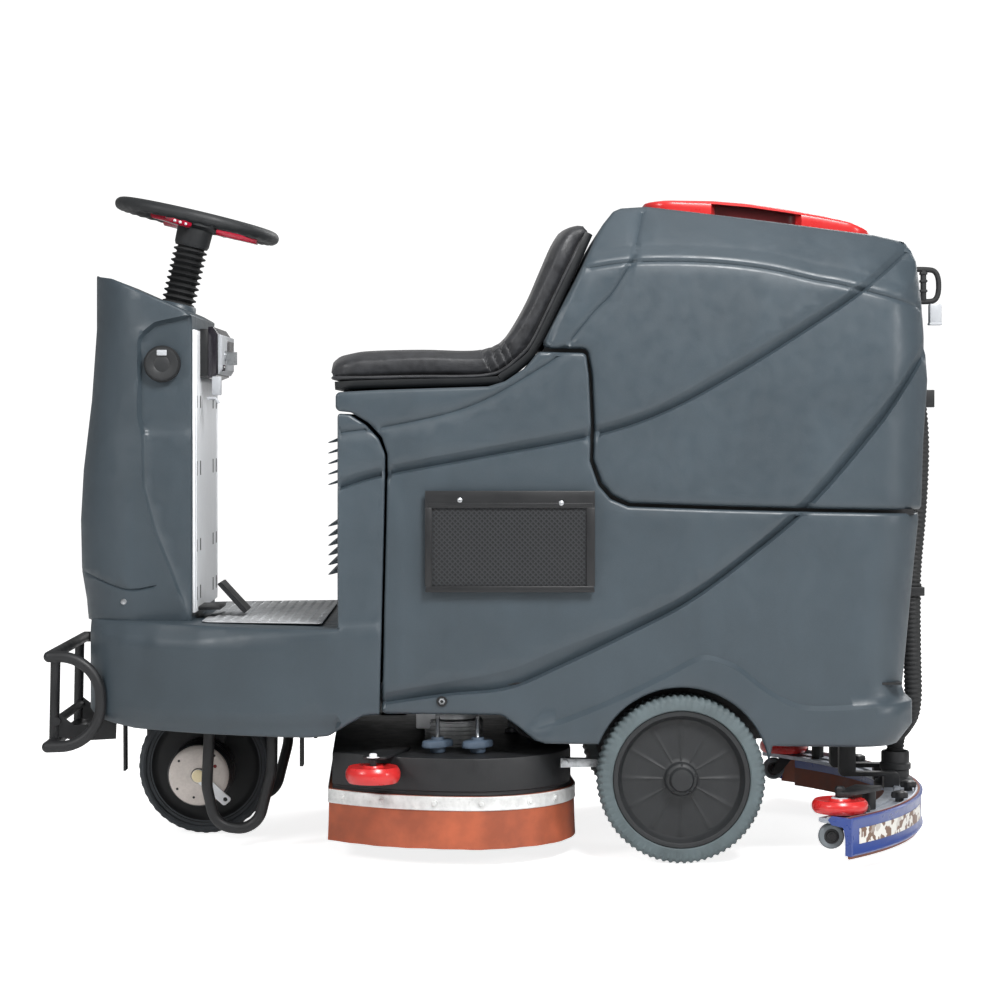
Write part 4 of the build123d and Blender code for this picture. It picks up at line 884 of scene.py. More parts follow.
def column():
    outline = rounded(
        [(-744, 405), (-749, 440), (-758, 494), (-760, 585), (-755, 676), (-740, 803), (-731, 931),
         (-731, 1031), (-719, 1026), (-692, 1021), (-638, 997), (-567, 967), (-546, 955), (-546, 405)],
        [0, 60, 60, 60, 60, 60, 60, 5, 8, 20, 40, 40, 6, 0])
    ring = RECESS + RECESS[:1]
    lines = [ring, beside(ring, 7.0), beside(ring, -7.0), beside(ring, 3.5), COLUMN_CUT,
             beside(COLUMN_CUT, 3.0), beside(COLUMN_CUT, -3.0)]
    lines += [[Vector((-632, z)), Vector((-550, z))] for z in (740, 744.5, 749)]
    lines += [[Vector((column_front(z) + step, z)) for z in range(400, 1040, 40)]
              for step in (2, 7, 15, 28, 46, 70, 96)]
    piece = moulding("column", outline, column_depth, "root", M["body"], lines, 4.0, 20.0)
    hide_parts("column_cover")


lower_body()
upper_body()
footwell()
column()

# ---- seat ---------------------------------------------------------------------------------------
SEAT_HALF = 230.0
SEAT_LOW = [(-293, 842), (-286, 841), (-258, 841), (-230, 841), (-134, 843), (-61, 843), (-17, 846),
            (10, 855), (40, 879), (62, 905), (92, 965), (128, 1040), (150, 1084), (166, 1104)]
SEAT_TOP = [(-300, 852), (-291, 873), (-258, 884), (-222, 888), (-134, 890), (-61, 888), (-24, 891), (8, 904),
            (32, 934), (60, 985), (84, 1040), (106, 1088), (124, 1112), (150, 1121)]
SEAT_BASE = [(-290, 825), (-206, 828), (-17, 833), (12, 842), (48, 868), (70, 893), (102, 958), (139, 1037),
             (166, 1098)]
PLEATS = (-13.5, 4.0, 21.0, 35.0)
PAD_VOXEL = 0.0055            # size of the pad's mesh before it is inflated, in metres
PAD_MASS = 0.4                # mass of one point of the cloth
PAD_FRAMES = 16


def smooth(points, parts):
    """Catmull-Rom with the same number of steps on each run."""
    points = [Vector(p) for p in points]
    padded = [points[0] * 2 - points[1]] + points + [points[-1] * 2 - points[-2]]
    line = []
    for i in range(1, len(padded) - 2):
        a, b, c, d = padded[i - 1:i + 3]
        for k in range(parts):
            t = k / parts
            line.append(0.5 * (2 * b + (c - a) * t + (2 * a - 5 * b + 4 * c - d) * t ** 2
                               + (3 * b - a - 3 * c + d) * t ** 3))
    line.append(points[-1])
    return line


def inflate(piece, cap, pressure):
    """Fills a cushion with air in a short cloth simulation; no point moves further than cap."""
    remesh = piece.modifiers.new("remesh", "REMESH")
    remesh.mode, remesh.voxel_size = "VOXEL", PAD_VOXEL
    apply_modifiers(piece)
    rest = [v.co.copy() for v in piece.data.vertices]
    cloth = piece.modifiers.new("cloth", "CLOTH")
    cloth.settings.use_pressure = True
    cloth.settings.uniform_pressure_force = pressure
    cloth.settings.effector_weights.gravity = 0.0
    cloth.settings.mass = PAD_MASS
    cloth.point_cache.frame_start, cloth.point_cache.frame_end = 1, PAD_FRAMES
    for step in range(1, PAD_FRAMES + 1):
        bpy.context.scene.frame_set(step)
    apply_modifiers(piece)
    for v, start in zip(piece.data.vertices, rest):
        move = v.co - start
        if move.length > cap:
            v.co = start + move.normalized() * cap
    bpy.context.scene.frame_set(1)


def apply_modifiers(piece):
    graph = bpy.context.evaluated_depsgraph_get()
    mesh = bpy.data.meshes.new_from_object(piece.evaluated_get(graph))
    piece.modifiers.clear()
    piece.data = mesh


def seat_half(x, z):
    """Half width of the seat: rounded front corners and rounded shoulders at the top of the back."""
    front = float(corner_inset(x + 300, 48.0))
    top = float(corner_inset(1126 - z, 44.0)) if z > 1000 else 0.0
    return SEAT_HALF - front - top


def seat_cushion():
    shape = Build()
    rings = []
    low, top = smooth(SEAT_LOW, 5), smooth(SEAT_TOP, 5)
    for a, b in zip(low, top):
        ring = []
        for k in range(44):
            angle = 2 * math.pi * k / 44
            c, s = math.cos(angle), math.sin(angle)
            across = math.copysign(abs(c) ** 0.28, c)
            rise = math.copysign(abs(s) ** 0.42, s)
            half = seat_half(a.x, b.y) - 3
            height = 0.5 + 0.5 * rise
            crown = 5.0 * max(0.0, 1 - across ** 2) * max(0.0, rise)
            p = a.lerp(b, height) + (b - a).normalized() * (crown - 2.5)
            p.x -= 9.0 * (1 - across ** 2) * float(soft_step((-262 - p.x) / 34))
            ring.append(Vector((p.x, across * half, p.y)) * MM)
        rings.append(ring)
    shape.rings(rings)
    piece = shape.done("seat_cushion_pad", None, M["seat"], 60)
    inflate(piece, 0.004, 3.0)
    press_pleats(piece)
    piece.data.materials.clear()
    piece.data.materials.append(M["seat"])
    piece.data.polygons.foreach_set("use_smooth", [True] * len(piece.data.polygons))
    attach(piece, "seat")
    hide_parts("seat_cushion")
    piping = Build()
    line = [Vector((a.x, -(seat_half(a.x, b.y) - 2.5), a.y + 1)) * MM for a, b in list(zip(low, top))[2:-2]]
    across = [Vector((line[0].x - 0.004, y, line[0].z)) for y in np.linspace(-0.17, 0.17, 9)]
    piping.tube(list(reversed(line)) + across + [Vector((p.x, -p.y, p.z)) for p in line], 0.0032, 8)
    bead = piping.done("seat_piping", "seat", M["seat"], 60)
    return piece


def press_pleats(piece):
    """Sinks the folds at the crook of the seat into the pad, deepest at its sides."""
    mesh = bmesh.new()
    mesh.from_mesh(piece.data)
    near = [edge for edge in mesh.edges
            if all(-0.045 < v.co.x < 0.065 and abs(v.co.y) > 0.14 and v.co.z > 0.84 for v in edge.verts)]
    bmesh.ops.subdivide_edges(mesh, edges=near, cuts=1, use_grid_fill=True)
    mesh.to_mesh(piece.data)
    mesh.free()
    points = np.array([v.co for v in piece.data.vertices])
    x, y, z = points[:, 0] / MM, points[:, 1] / MM, points[:, 2] / MM
    for place in PLEATS:
        lean = place - (z - 870) * 0.44
        near = np.exp(-((x - lean) / 3.6) ** 2)
        side = soft_step((np.abs(y) - 150) / 60)
        above = soft_step((z - 846) / 12)
        depth = 12.0 * near * above * (0.2 + 0.8 * side)
        points[:, 1] -= np.sign(y) * depth * 0.75 * soft_step((np.abs(y) - 205) / 20) * MM
        points[:, 0] -= depth * 0.35 * MM
        points[:, 2] -= depth * 0.5 * MM
    piece.data.vertices.foreach_set("co", points.astype(np.float32).ravel())
    piece.data.update()


def seat_base():
    """Black shell under the pad, a shallow tray with a rolled edge."""
    line = smooth(SEAT_BASE, 4)
    rings = []
    for i, p in enumerate(line):
        ahead, behind = line[min(i + 1, len(line) - 1)], line[max(i - 1, 0)]
        along = (ahead - behind).normalized()
        up = Vector((-along.y, along.x))
        half = seat_half(p.x - 4, p.y) - 1
        section = [(-1.0, 10.5), (-1.0, 3.0), (-0.985, -1.5), (-0.95, -4.0), (0.95, -4.0), (0.985, -1.5),
                   (1.0, 3.0), (1.0, 10.5), (0.97, 10.5), (-0.97, 10.5)]
        rings.append([Vector((p.x + up.x * h, across * half, p.y + up.y * h)) * MM for across, h in section])
    shape = Build().rings(rings)
    for side in (-1, 1):
        y0, y1 = sorted((side * 0.1106, side * 0.1294))
        shape.revolve([(0.0, y0), (0.0055, y0), (0.0055, y1), (0.0, y1)], (-0.272, 0, 0.823), FAR, 20)
    piece = shape.done("seat_shell", "seat", M["grain_black"])
    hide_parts("seat_pan")


# ---- steering -----------------------------------------------------------------------------------
STEER_C = Vector((-0.558, 0.0, 1.138))
STEER_TILT = math.radians(13)
STEER_AXIS = Vector((math.sin(STEER_TILT), 0.0, math.cos(STEER_TILT)))
STEER_R = 0.1425


def bellows():
    profile = [(0.021, -0.048), (0.030, -0.048)]
    count = 9
    for k in range(count):
        top = -0.0515 - k * 0.0113
        profile += [(0.0245, top), (0.0262, top - 0.0022), (0.0310, top - 0.0040), (0.0322, top - 0.0056),
                    (0.0310, top - 0.0072), (0.0262, top - 0.0092)]
    profile += [(0.0245, -0.1535), (0.030, -0.156), (0.031, -0.176), (0.021, -0.176)]
    piece = Build().revolve(profile, STEER_C, STEER_AXIS, 40, closed=True).done(
        "shaft_bellows", "root", M["black_rubber"], 60)
    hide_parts("column_bellows")
    collar = Build().revolve([(0.0325, -0.158), (0.035, -0.161), (0.036, -0.172), (0.038, -0.19),
                              (0.033, -0.19)],
                             STEER_C, STEER_AXIS, 40, closed=True).done("shaft_collar", "root", M["body"])


def steering_wheel():
    rim = Build()
    section = [(STEER_R + 0.0132 * math.cos(a), 0.0118 * math.sin(a))
               for a in (2 * math.pi * k / 18 for k in range(18))]

    def fingers(angle, radius, height):
        wave = 0.0007 * math.cos(angle * 36)
        return radius + (wave if radius < STEER_R else 0.0), height - (wave if height < 0 else 0.0)

    rim.revolve(section, STEER_C, STEER_AXIS, 144, fingers, closed=True)
    rim.revolve([(0.0, 0.0085), (0.018, 0.0085), (0.036, 0.006), (0.0425, 0.0), (0.0425, -0.010),
                 (0.0335, -0.016), (0.0325, -0.044), (0.030, -0.050), (0.0115, -0.050)], STEER_C,
                STEER_AXIS, 48)
    right = Vector(FAR).cross(STEER_AXIS).normalized()
    other = STEER_AXIS.cross(right)
    for spoke in range(3):
        angle = math.radians(120 * spoke)
        out = right * math.cos(angle) + other * math.sin(angle)
        wide = STEER_AXIS.cross(out)
        rings = []
        for share in np.linspace(0, 1, 9):
            reach = 0.036 + (STEER_R - 0.040) * share
            half = 0.026 - 0.012 * math.sin(math.pi * min(share * 1.1, 1.0)) + 0.006 * share ** 3
            drop = -0.004 - 0.003 * math.sin(math.pi * share)
            middle = STEER_C + out * reach + STEER_AXIS * drop
            ring = []
            for k in range(12):
                a = 2 * math.pi * k / 12
                across = math.copysign(abs(math.cos(a)) ** 0.6, math.cos(a))
                ring.append(middle + wide * half * across + STEER_AXIS * 0.0052 * math.sin(a))
            rings.append(ring)
        rim.rings(rings)
    piece = rim.done("steering_wheel_rim", "steering", M["grain_black"], 45)
    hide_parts("steering_wheel")
    insert = Build()
    for spoke in range(3):
        angle = math.radians(120 * spoke)
        out = right * math.cos(angle) + other * math.sin(angle)
        wide = STEER_AXIS.cross(out)
        rings = []
        for share in np.linspace(0.1, 0.92, 8):
            reach = 0.036 + (STEER_R - 0.040) * share
            half = 0.018 - 0.009 * math.sin(math.pi * share)
            middle = STEER_C + out * reach + STEER_AXIS * (0.0022 - 0.003 * math.sin(math.pi * share))
            rings.append([middle + wide * half * c + STEER_AXIS * h for c, h in
                          ((-1, -0.003), (-0.94, 0.0002), (0.94, 0.0002), (1, -0.003))])
        insert.rings(rings)
        under = []
        for share in np.linspace(0.05, 0.80, 6):
            middle = STEER_C + out * (0.036 + (STEER_R - 0.040) * share) - STEER_AXIS * 0.0085
            half = 0.021 - 0.006 * math.sin(math.pi * share)
            under.append([middle + wide * half * c + STEER_AXIS * h for c, h in
                          ((-1, 0.001), (-1, -0.005), (-0.8, -0.009), (0.8, -0.009), (1, -0.005),
                           (1, 0.001))])
        insert.rings(under)
    accent = insert.done("spoke_inserts", "steering", M["crimson"])
    dots = Build()
    for spoke in range(3):
        angle = math.radians(120 * spoke)
        out = right * math.cos(angle) + other * math.sin(angle)
        for k in range(3):
            place = STEER_C + out * (0.062 + 0.017 * k) + STEER_AXIS * -0.0012
            dots.revolve([(0.0, 0.0026), (0.0024, 0.0024), (0.003, 0.001), (0.003, -0.001)], place,
                         STEER_AXIS, 16)
            side = wide * 0.0172 * (1 if wide.y < 0 else -1)
            place = STEER_C + out * (0.056 + 0.017 * k) + side - STEER_AXIS * 0.0125
            dots.revolve([(0.0, 0.0026), (0.0020, 0.0024), (0.0026, 0.001), (0.0026, -0.001)], place,
                         side, 12)
    dots.done("spoke_studs", "steering", M["white"])


# ---- lid ----------------------------------------------------------------------------------------
LID = (264.0, 670.0, 205.0)
LID_GRIP = (461.0, 74.0)      # middle of the grip recess along the lid, and its half length


def lid_top(x):
    """Height of the tank's top under the lid."""
    return 1146 - (x - 263) * 50 / 402


def lid_rise(x):
    """How far the lid's crown stands over the tank's top."""
    return float(np.interp(x, [264, 300, 386, 450, 524, 580, 631, 660, 670],
                           [13, 20, 30, 33, 31, 28, 23, 16, 13]))


def tank_lid():
    x0, x1, half = LID
    loop = rounded([(x0, -half), (x1, -half), (x1, half), (x0, half)], 46)
    loop = spaced(loop, 9.0, closed=True)
    rings = []
    levels = ((0.05, 1.5, 1), (0.40, 0.3, 1), (0.70, 0.8, 1), (0.74, 1.2, 0), (0.82, 3.0, 0), (0.90, 8.0, 0),
              (0.96, 20.0, 0), (1.0, 44.0, 0), (1.0, 70.0, 0), (1.02, 110.0, 0), (1.03, 150.0, 0))
    for share, inset, deep in levels:
        ring = []
        for p in loop:
            cx = min(max(p.x, x0 + 160), x1 - 160)
            q = Vector((p.x, p.y))
            to = Vector((cx, 0)) - q
            q = q + to.normalized() * inset
            grip = float(soft_step((LID_GRIP[1] + 5 - abs(q.x - LID_GRIP[0])) / 10)) if q.y < -150 else 0.0
            q.y += 27.0 * grip * deep
            ring.append(Vector((q.x, q.y, lid_top(q.x) + share * lid_rise(q.x))) * MM)
        rings.append(ring)
    piece = Build().rings(rings).done("tank_lid_cover", "tank_lid", M["red"], 50)
    # A second, darker red: painted shade on the faces inside the lid's grip recess.
    piece.data.materials.append(M["dark_red_and_grip_shade"])
    for face in piece.data.polygons:
        c = face.center / MM
        low = c.z < lid_top(c.x) + 0.735 * lid_rise(c.x)
        if low and abs(c.x - LID_GRIP[0]) < LID_GRIP[1] and -202 < c.y < -150:
            face.material_index = 1
    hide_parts("tank_lid")
    pins = Build()
    for x in (365.0, 465.0, 565.0):
        z = lid_top(x)
        pins.box(((x - 9) * MM, 0.200, (z + 4) * MM), ((x + 9) * MM, 0.2295, (z + 11) * MM), 0.002)
    ends = [Vector((x, 226.0, lid_top(x) + 7)) * MM for x in (301.0, 631.0)]
    pins.tube(ends, 0.004, 16)
    pins.done("lid_hinge_pins", "tank_lid", M["dark_red_and_grip_shade"])
    knuckles = Build()
    for x in (340.0, 590.0):
        z = lid_top(x)
        knuckles.box(((x - 12) * MM, 0.218, (z - 20) * MM), ((x + 12) * MM, 0.234, (z + 2.4) * MM), 0.002)
        for y in (0.2185, 0.2315):
            knuckles.box(((x - 12) * MM, y - 0.0018, (z + 2) * MM),
                         ((x + 12) * MM, y + 0.0018, (z + 12) * MM), 0.001)
    knuckles.done("lid_hinge_knuckles", "root", M["body"])


seat_cushion()
seat_base()
bellows()
steering_wheel()
tank_lid()

# ---- wheels -------------------------------------------------------------------------------------
REAR_WHEEL = (0.317, 0.325, 0.146)   # x, |y| of the middle plane and z of a rear wheel's centre
TREAD_LUGS = 75
FORK_X, DRIVE_Z = -0.539, 0.125


def in_mm(profile):
    return [(r * MM, h * MM) for r, h in profile]


def rear_wheel(side, name):
    centre = (REAR_WHEEL[0], side * REAR_WHEEL[1], REAR_WHEEL[2])
    axis = (0, side, 0)

    def lugs(angle, radius, height):
        if radius < 0.139:
            return radius, height
        slant = math.copysign(3.0, height) * abs(height) / 0.035
        tooth = 0.5 + 0.5 * math.tanh(2.6 * math.cos(TREAD_LUGS * angle + slant))
        return radius - 0.0030 * (1 - tooth), height

    tread = [(119, -33), (121, -35), (136, -35), (142, -32), (145, -27), (146, -20), (146, -7), (143, -5),
             (143, 5), (146, 7), (146, 20), (145, 27), (142, 32), (136, 35), (121, 35), (119, 33)]
    tyre = Build().revolve(in_mm(tread), centre, axis, TREAD_LUGS * 6, lugs, closed=True)
    tyre = tyre.done("tyre_" + name, "rear_wheel_" + name, M["tyre"], 35)
    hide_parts("rear_tyre_" + name)

    def ribs(angle, radius, height):
        on_disc = 0.035 < radius < 0.1 and height > 0
        return radius, height + (0.0020 * max(0.0, math.cos(12 * angle)) ** 8 if on_disc else 0.0)

    disc = [(0, 42.5), (12, 42.3), (18, 41), (21, 37), (21.8, 33), (26, 31.5), (28.6, 28), (29, 17), (31, 15),
            (37, 13.5), (60, 12.5),
            (97, 13.0), (102, 14), (106, 19), (108, 27), (110, 30.5), (113, 31.5), (117.5, 31.5), (119, 30),
            (119, -31), (108, -31), (108, -12), (29, -12), (29, -31), (15.1, -31)]
    rim = Build().revolve(in_mm(disc), centre, axis, 192, ribs)
    for k in range(5):
        angle = 2 * math.pi * k / 5 + 0.3
        place = Vector(centre) + Vector((math.cos(angle), 0, math.sin(angle))) * 0.0255
        rim.revolve(in_mm([(0, 33.2), (1.4, 33.2), (1.8, 32.4), (1.8, 30)]), place, axis, 12)
    rim = rim.done("rim_" + name, "rear_wheel_" + name, M["grain_black"], 35)
    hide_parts("rear_rim_" + name)


def drive_wheel():
    centre = (FORK_X, 0, DRIVE_Z)

    def blocks(angle, radius, height):
        if radius < 0.121 or abs(height) < 0.008:
            return radius, height
        return radius - 0.0009 * (0.5 - 0.5 * math.tanh(4 * math.cos(44 * angle))), height

    tread = [(100, -30), (109, -31), (111, -35), (115, -37), (119, -35), (122.5, -29), (125, -20), (125, -9),
             (122.5, -7), (122.5, 7), (125, 9), (125, 20), (122.5, 29), (119, 35), (115, 37), (111, 35),
             (109, 31), (100, 30)]
    tyre = Build().revolve(in_mm(tread), centre, FAR, 264, blocks, closed=True)
    tyre = tyre.done("tyre_front", "drive_wheel", M["front_tyre"], 35)
    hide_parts("drive_tyre")
    disc = [(12.1, -34), (30, -34), (34, -24), (88, -22), (96, -26), (104, -31), (106, -28), (106, 28),
            (104, 31), (96, 26), (88, 22), (34, 24), (30, 34), (12.1, 34)]
    rim = Build().revolve(in_mm(disc), centre, FAR, 96, closed=True)
    rim = rim.done("rim_front", "drive_wheel", M["black"], 35)
    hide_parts("drive_rim")
    housing = Build().revolve(in_mm([(0, 56), (56, 56), (58, 59), (58, 84), (55, 86), (55, 92), (58, 94),
                                     (58, 118), (55, 120), (55, 126), (58, 128), (58, 136), (55, 141.8),
                                     (0, 141.8)]),
                              (FORK_X, 0, DRIVE_Z), NEAR, 64)
    housing = housing.done("hub_motor_case", "fork", M["black"], 35)
    cover = Build().revolve(in_mm([(8, 143), (12, 148), (14, 154.8), (30, 155.4), (46, 155.0),
                                   (51, 153.4), (54, 150), (54, 142.2), (8, 142.2)]),
                            (FORK_X, 0, DRIVE_Z), NEAR, 64, closed=True)
    cover = cover.done("brake_cover", "fork", M["cover"], 35)
    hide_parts("drive_motor")
    marks = Build()
    for angle, reach in ((2.5, 44), (3.7, 45), (4.5, 40), (5.6, 44), (0.9, 46)):
        place = Vector((FORK_X + reach * MM * math.cos(angle), 0, DRIVE_Z + reach * MM * math.sin(angle)))
        marks.revolve(in_mm([(0, 156.2), (1.6, 156), (2.6, 155), (2.6, 152)]), place, NEAR, 6)
    marks.done("brake_cover_screws", "fork", M["black"], 35)
    cap = Build().revolve(in_mm([(0, 163.5), (8, 163), (11, 161.8), (11.5, 161.2), (0, 161.2)]),
                          (FORK_X, 0, DRIVE_Z), NEAR, 32)
    cap.done("brake_lever_cap", "brake_lever", M["cream"], 35)
    plug = Build().revolve(in_mm([(0, 156.2), (3, 156), (3.6, 154.5), (3.6, 150)]),
                           (FORK_X + 0.030, 0, DRIVE_Z + 0.017), NEAR, 20)
    plug.done("brake_cover_plug", "fork", M["dark_red_and_grip_shade"], 35)


# ---- brush deck ---------------------------------------------------------------------------------
FAR_SHIFT = -20.0


def arc3(a, b, c, steps):
    """Points of the circle arc from a through b to c, without its last point."""
    (ax, ay), (bx, by), (cx, cy) = a, b, c
    d = 2 * (ax * (by - cy) + bx * (cy - ay) + cx * (ay - by))
    ux = ((ax * ax + ay * ay) * (by - cy) + (bx * bx + by * by) * (cy - ay)
          + (cx * cx + cy * cy) * (ay - by)) / d
    uy = ((ax * ax + ay * ay) * (cx - bx) + (bx * bx + by * by) * (ax - cx)
          + (cx * cx + cy * cy) * (bx - ax)) / d
    first, last = math.atan2(ay - uy, ax - ux), math.atan2(cy - uy, cx - ux)
    middle = math.atan2(by - uy, bx - ux)
    turn = (last - first) % (2 * math.pi)
    if (middle - first) % (2 * math.pi) > turn:
        turn -= 2 * math.pi
    r = math.hypot(ax - ux, ay - uy)
    return [Vector((ux + r * math.cos(first + turn * k / steps), uy + r * math.sin(first + turn * k / steps)))
            for k in range(steps)]


def deck_outline():
    near = ((-290, -285), (-165, -361), (-30, -383), (90, -316), (131, -200))
    far = [(x + FAR_SHIFT, -y) for x, y in reversed(near)]
    line = arc3(*near[:3], 18) + arc3(*near[2:], 18) + [Vector(near[4])]
    line += arc3(*far[:3], 18) + arc3(*far[2:], 18) + [Vector(far[4])]
    return spaced(line, 30.0, closed=True)


DECK_LINE = deck_outline()


def grown(loop, amount):
    """A closed plan line moved outwards; the loop runs anticlockwise."""
    moved = []
    for i, p in enumerate(loop):
        along = (loop[(i + 1) % len(loop)] - loop[i - 1]).normalized()
        moved.append(p + Vector((along.y, -along.x)) * amount)
    return moved


def deck_rings(levels, wave=None):
    rings = []
    for z, amount in levels:
        ring = []
        for i, p in enumerate(grown(DECK_LINE, amount)):
            extra = wave(i, z) if wave else 0.0
            ring.append(Vector((p.x, p.y, z + extra)) * MM)
        rings.append(ring)
    return rings


def deck():
    shell = Build().rings(deck_rings([(180, -6), (94, -5), (92, -3), (94, 0), (124, 0), (125.5, -1.6),
                                      (128, -1.6), (129.5, 0), (183, -0.3), (185.3, -1.2), (186, -3),
                                      (186, -6), (186, -14)]))
    for x, y in ((-214.0, -398.0), (-234.0, 398.0)):
        side = math.copysign(1, y)
        arm = rounded([(x - 22, y), (x + 22, y), (x + 60, y - side * 130), (x + 10, y - side * 130)],
                      [16, 16, 2, 2])
        shell.prism(arm, 0.186, 0.191, 0.001, plane="xy")
        shell.tube([(x * MM, y * MM, 0.142), (x * MM, y * MM, 0.187)], 0.006, 20)
    for y in (-150.0, 150.0):
        lug = rounded([(60, 184), (112, 184), (112, 206), (100, 212), (72, 212)], [1, 1, 4, 8, 8])
        for dy in (-16.0, 10.0):
            shell.prism(lug, (y + dy) * MM, (y + dy + 6) * MM, 0.001)
    shell = shell.done("deck_housing", "deck", M["black_steel"])
    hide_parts("deck_shell")

    def wear(i, z):
        return 0.35 * math.sin(i * 1.7) + 0.3 * math.sin(i * 0.61) if z < 34 else 0.0

    skirt = deck_rings([(121, 0.4), (121, 5.9), (97, 6.1), (70, 6.6), (40, 7.8), (31.5, 8.4), (30.8, 6.0),
                        (33, 1.6), (70, 0.6)], wear)
    skirt = Build().rings(skirt, close_path=True, cap=False).done("splash_skirt", "deck", M["gum"])
    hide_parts("deck_skirt")
    strap = Build().rings(deck_rings([(97.5, 6.3), (97, 7.2), (98, 8.2), (100, 8.2), (101, 7.7), (117, 7.7),
                                      (118, 8.2), (120, 8.2), (121, 7.2), (120.5, 6.3)]), close_path=True,
                          cap=False)
    strap = strap.done("skirt_strap", "deck", M["strap"])
    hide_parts("deck_strap")
    screws, outer = Build(), grown(DECK_LINE, 7.6)
    for wanted in (-268, -196, -112, -26, 52, 104):
        for side in (-1, 1):
            place = min((p for p in outer if p.y * side > 190), key=lambda p: abs(p.x - wanted))
            i = outer.index(place)
            along = (outer[(i + 1) % len(outer)] - outer[i - 1]).normalized()
            out = Vector((along.y, -along.x, 0))
            base = Vector((place.x, place.y, 109)) * MM
            screws.revolve(in_mm([(0, 3.2), (3.4, 2.6), (4.6, 1.2), (4.8, -0.6)]), base, out, 14)
            screws.revolve(in_mm([(7.5, 0.8), (7.5, -0.8)]), base, out, 18)
    screws.done("skirt_screws", "deck", M["strap"], 35)
    bar = Build()
    for side in (-1, 1):
        y0, y1 = sorted((side * 0.268, side * 0.284))
        bar.prism(rounded([(98, 157), (214, 159), (214, 172), (98, 174)], [3, 6, 6, 3]), y0, y1, 0.001)
        outer_face = side * 0.2855
        bar.revolve(in_mm([(0, 4), (6, 3.6), (7, 1), (7, -2)]), (0.118, outer_face, 0.1655), (0, side, 0), 6)
    bar.done("deck_drag_bars", "deck", M["steel"], 35)
    deck_motors()
    height_screws()
    for index, name in enumerate(("left", "right")):
        x, y = ((-214, -398), (-234, 398))[index]
        bump_roller("deck_roller_" + name, x, y, 47.0, 146.0, 177.0)
        brush("brush_" + name, *((-78, -178), (-98, 178))[index])


def deck_motors():
    motors = Build()
    blocks = Build()
    for x, y in ((-78, -178), (-98, 178)):
        base = (x * MM, y * MM, 0)
        profile = [(14, 100), (14, 186), (56, 186.5), (56, 191), (52, 192)]
        for k in range(5):
            z = 194 + k * 7.4
            profile += [(52, z), (52, z + 4.4), (50.3, z + 5), (50.3, z + 6.8)]
        profile += [(52, 231), (50, 233), (44, 234), (44, 252), (41, 257), (20, 258), (0, 258)]
        motors.revolve(in_mm(profile), base, UP, 56)
        for k in range(4):
            a = math.pi / 4 + math.pi * k / 2
            foot = Vector((x + 52 * math.cos(a), y + 52 * math.sin(a), 0)) * MM
            motors.revolve(in_mm([(0, 197), (5, 197), (5.8, 195.5), (5.8, 190)]), foot, UP, 6)
        blocks.box(((x - 67) * MM, (y - 30) * MM, 0.216), ((x - 30) * MM, (y + 26) * MM, 0.2575), 0.003)
    piece = motors.done("brush_motors", "deck", M["cast"], 35)
    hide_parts("deck_motors")
    blocks.done("motor_terminal_boxes", "deck", M["white"])


def height_screws():
    knobs, screws = Build(), Build()

    def lobes(angle, radius, height):
        return radius * (1 + (0.32 * math.cos(2 * angle) + 0.1 * math.cos(4 * angle) if radius > 0.018
                              else 0)), height

    for x, y in ((-105, -305), (-35, -310)):
        base = (x * MM, y * MM, 0)
        knobs.revolve(in_mm([(4.4, 187), (12, 187), (14, 190), (14, 196), (23, 197), (24, 200), (23, 207),
                             (20, 209), (11, 209.5), (10.5, 214), (4.4, 214)]), base, UP, 48,
                      lobes, closed=True)
        thread = [(0, 186)]
        for k in range(30):
            thread += [(4.0, 186 + k * 2.1), (3.5, 187 + k * 2.1)]
        thread += [(3.6, 249.5), (0, 250)]
        screws.revolve(in_mm(thread), base, UP, 14)
    screws.revolve(in_mm([(0, 186), (14, 186), (14, 192), (9, 194), (9, 261), (0, 262)]), (0.030, 0, 0),
                   UP, 28)
    piece = knobs.done("height_knobs", "deck", M["knob"], 35)
    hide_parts("deck_knobs")
    screws.done("height_screws", "deck", M["steel"], 35)


def bump_roller(name, x, y, radius, z0, z1):
    base, mid = (x * MM, y * MM, 0), (z0 + z1) / 2
    h = (z1 - z0) / 2
    profile = [(6.1, z0 + 1), (17, z0), (19, z0 + 3), (32, z0 + 3.5), (radius - 5, z0 + 2),
               (radius - 1.2, mid - h * 0.5), (radius, mid - h * 0.2), (radius, mid + h * 0.2),
               (radius - 1.2, mid + h * 0.5), (radius - 5, z1 - 2), (32, z1 - 3.5), (19, z1 - 3),
               (17, z1), (6.1, z1 - 1)]
    piece = Build().revolve(in_mm(profile), base, UP, 56, closed=True).done(name + "_wheel", name,
                                                                                   M["red"], 35)
    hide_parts(name)
    body = "deck" if name.startswith("deck") else "squeegee"
    if body == "deck":
        cap = Build().revolve(in_mm([(0, 197), (5, 197), (6.5, 195.5), (7, 191), (11, 190.9), (11, 190)]),
                              base, UP, 24)
        cap.done(name + "_screw", body, M["white"], 35)
    else:
        hub = Build().revolve(in_mm([(6.2, z1 - 1), (8, z1 + 1.6), (14, z1 + 1.4), (16, z1 - 1)]), base,
                              UP, 24, closed=True)
        hub.done(name + "_bearing", name, M["pale"], 35)


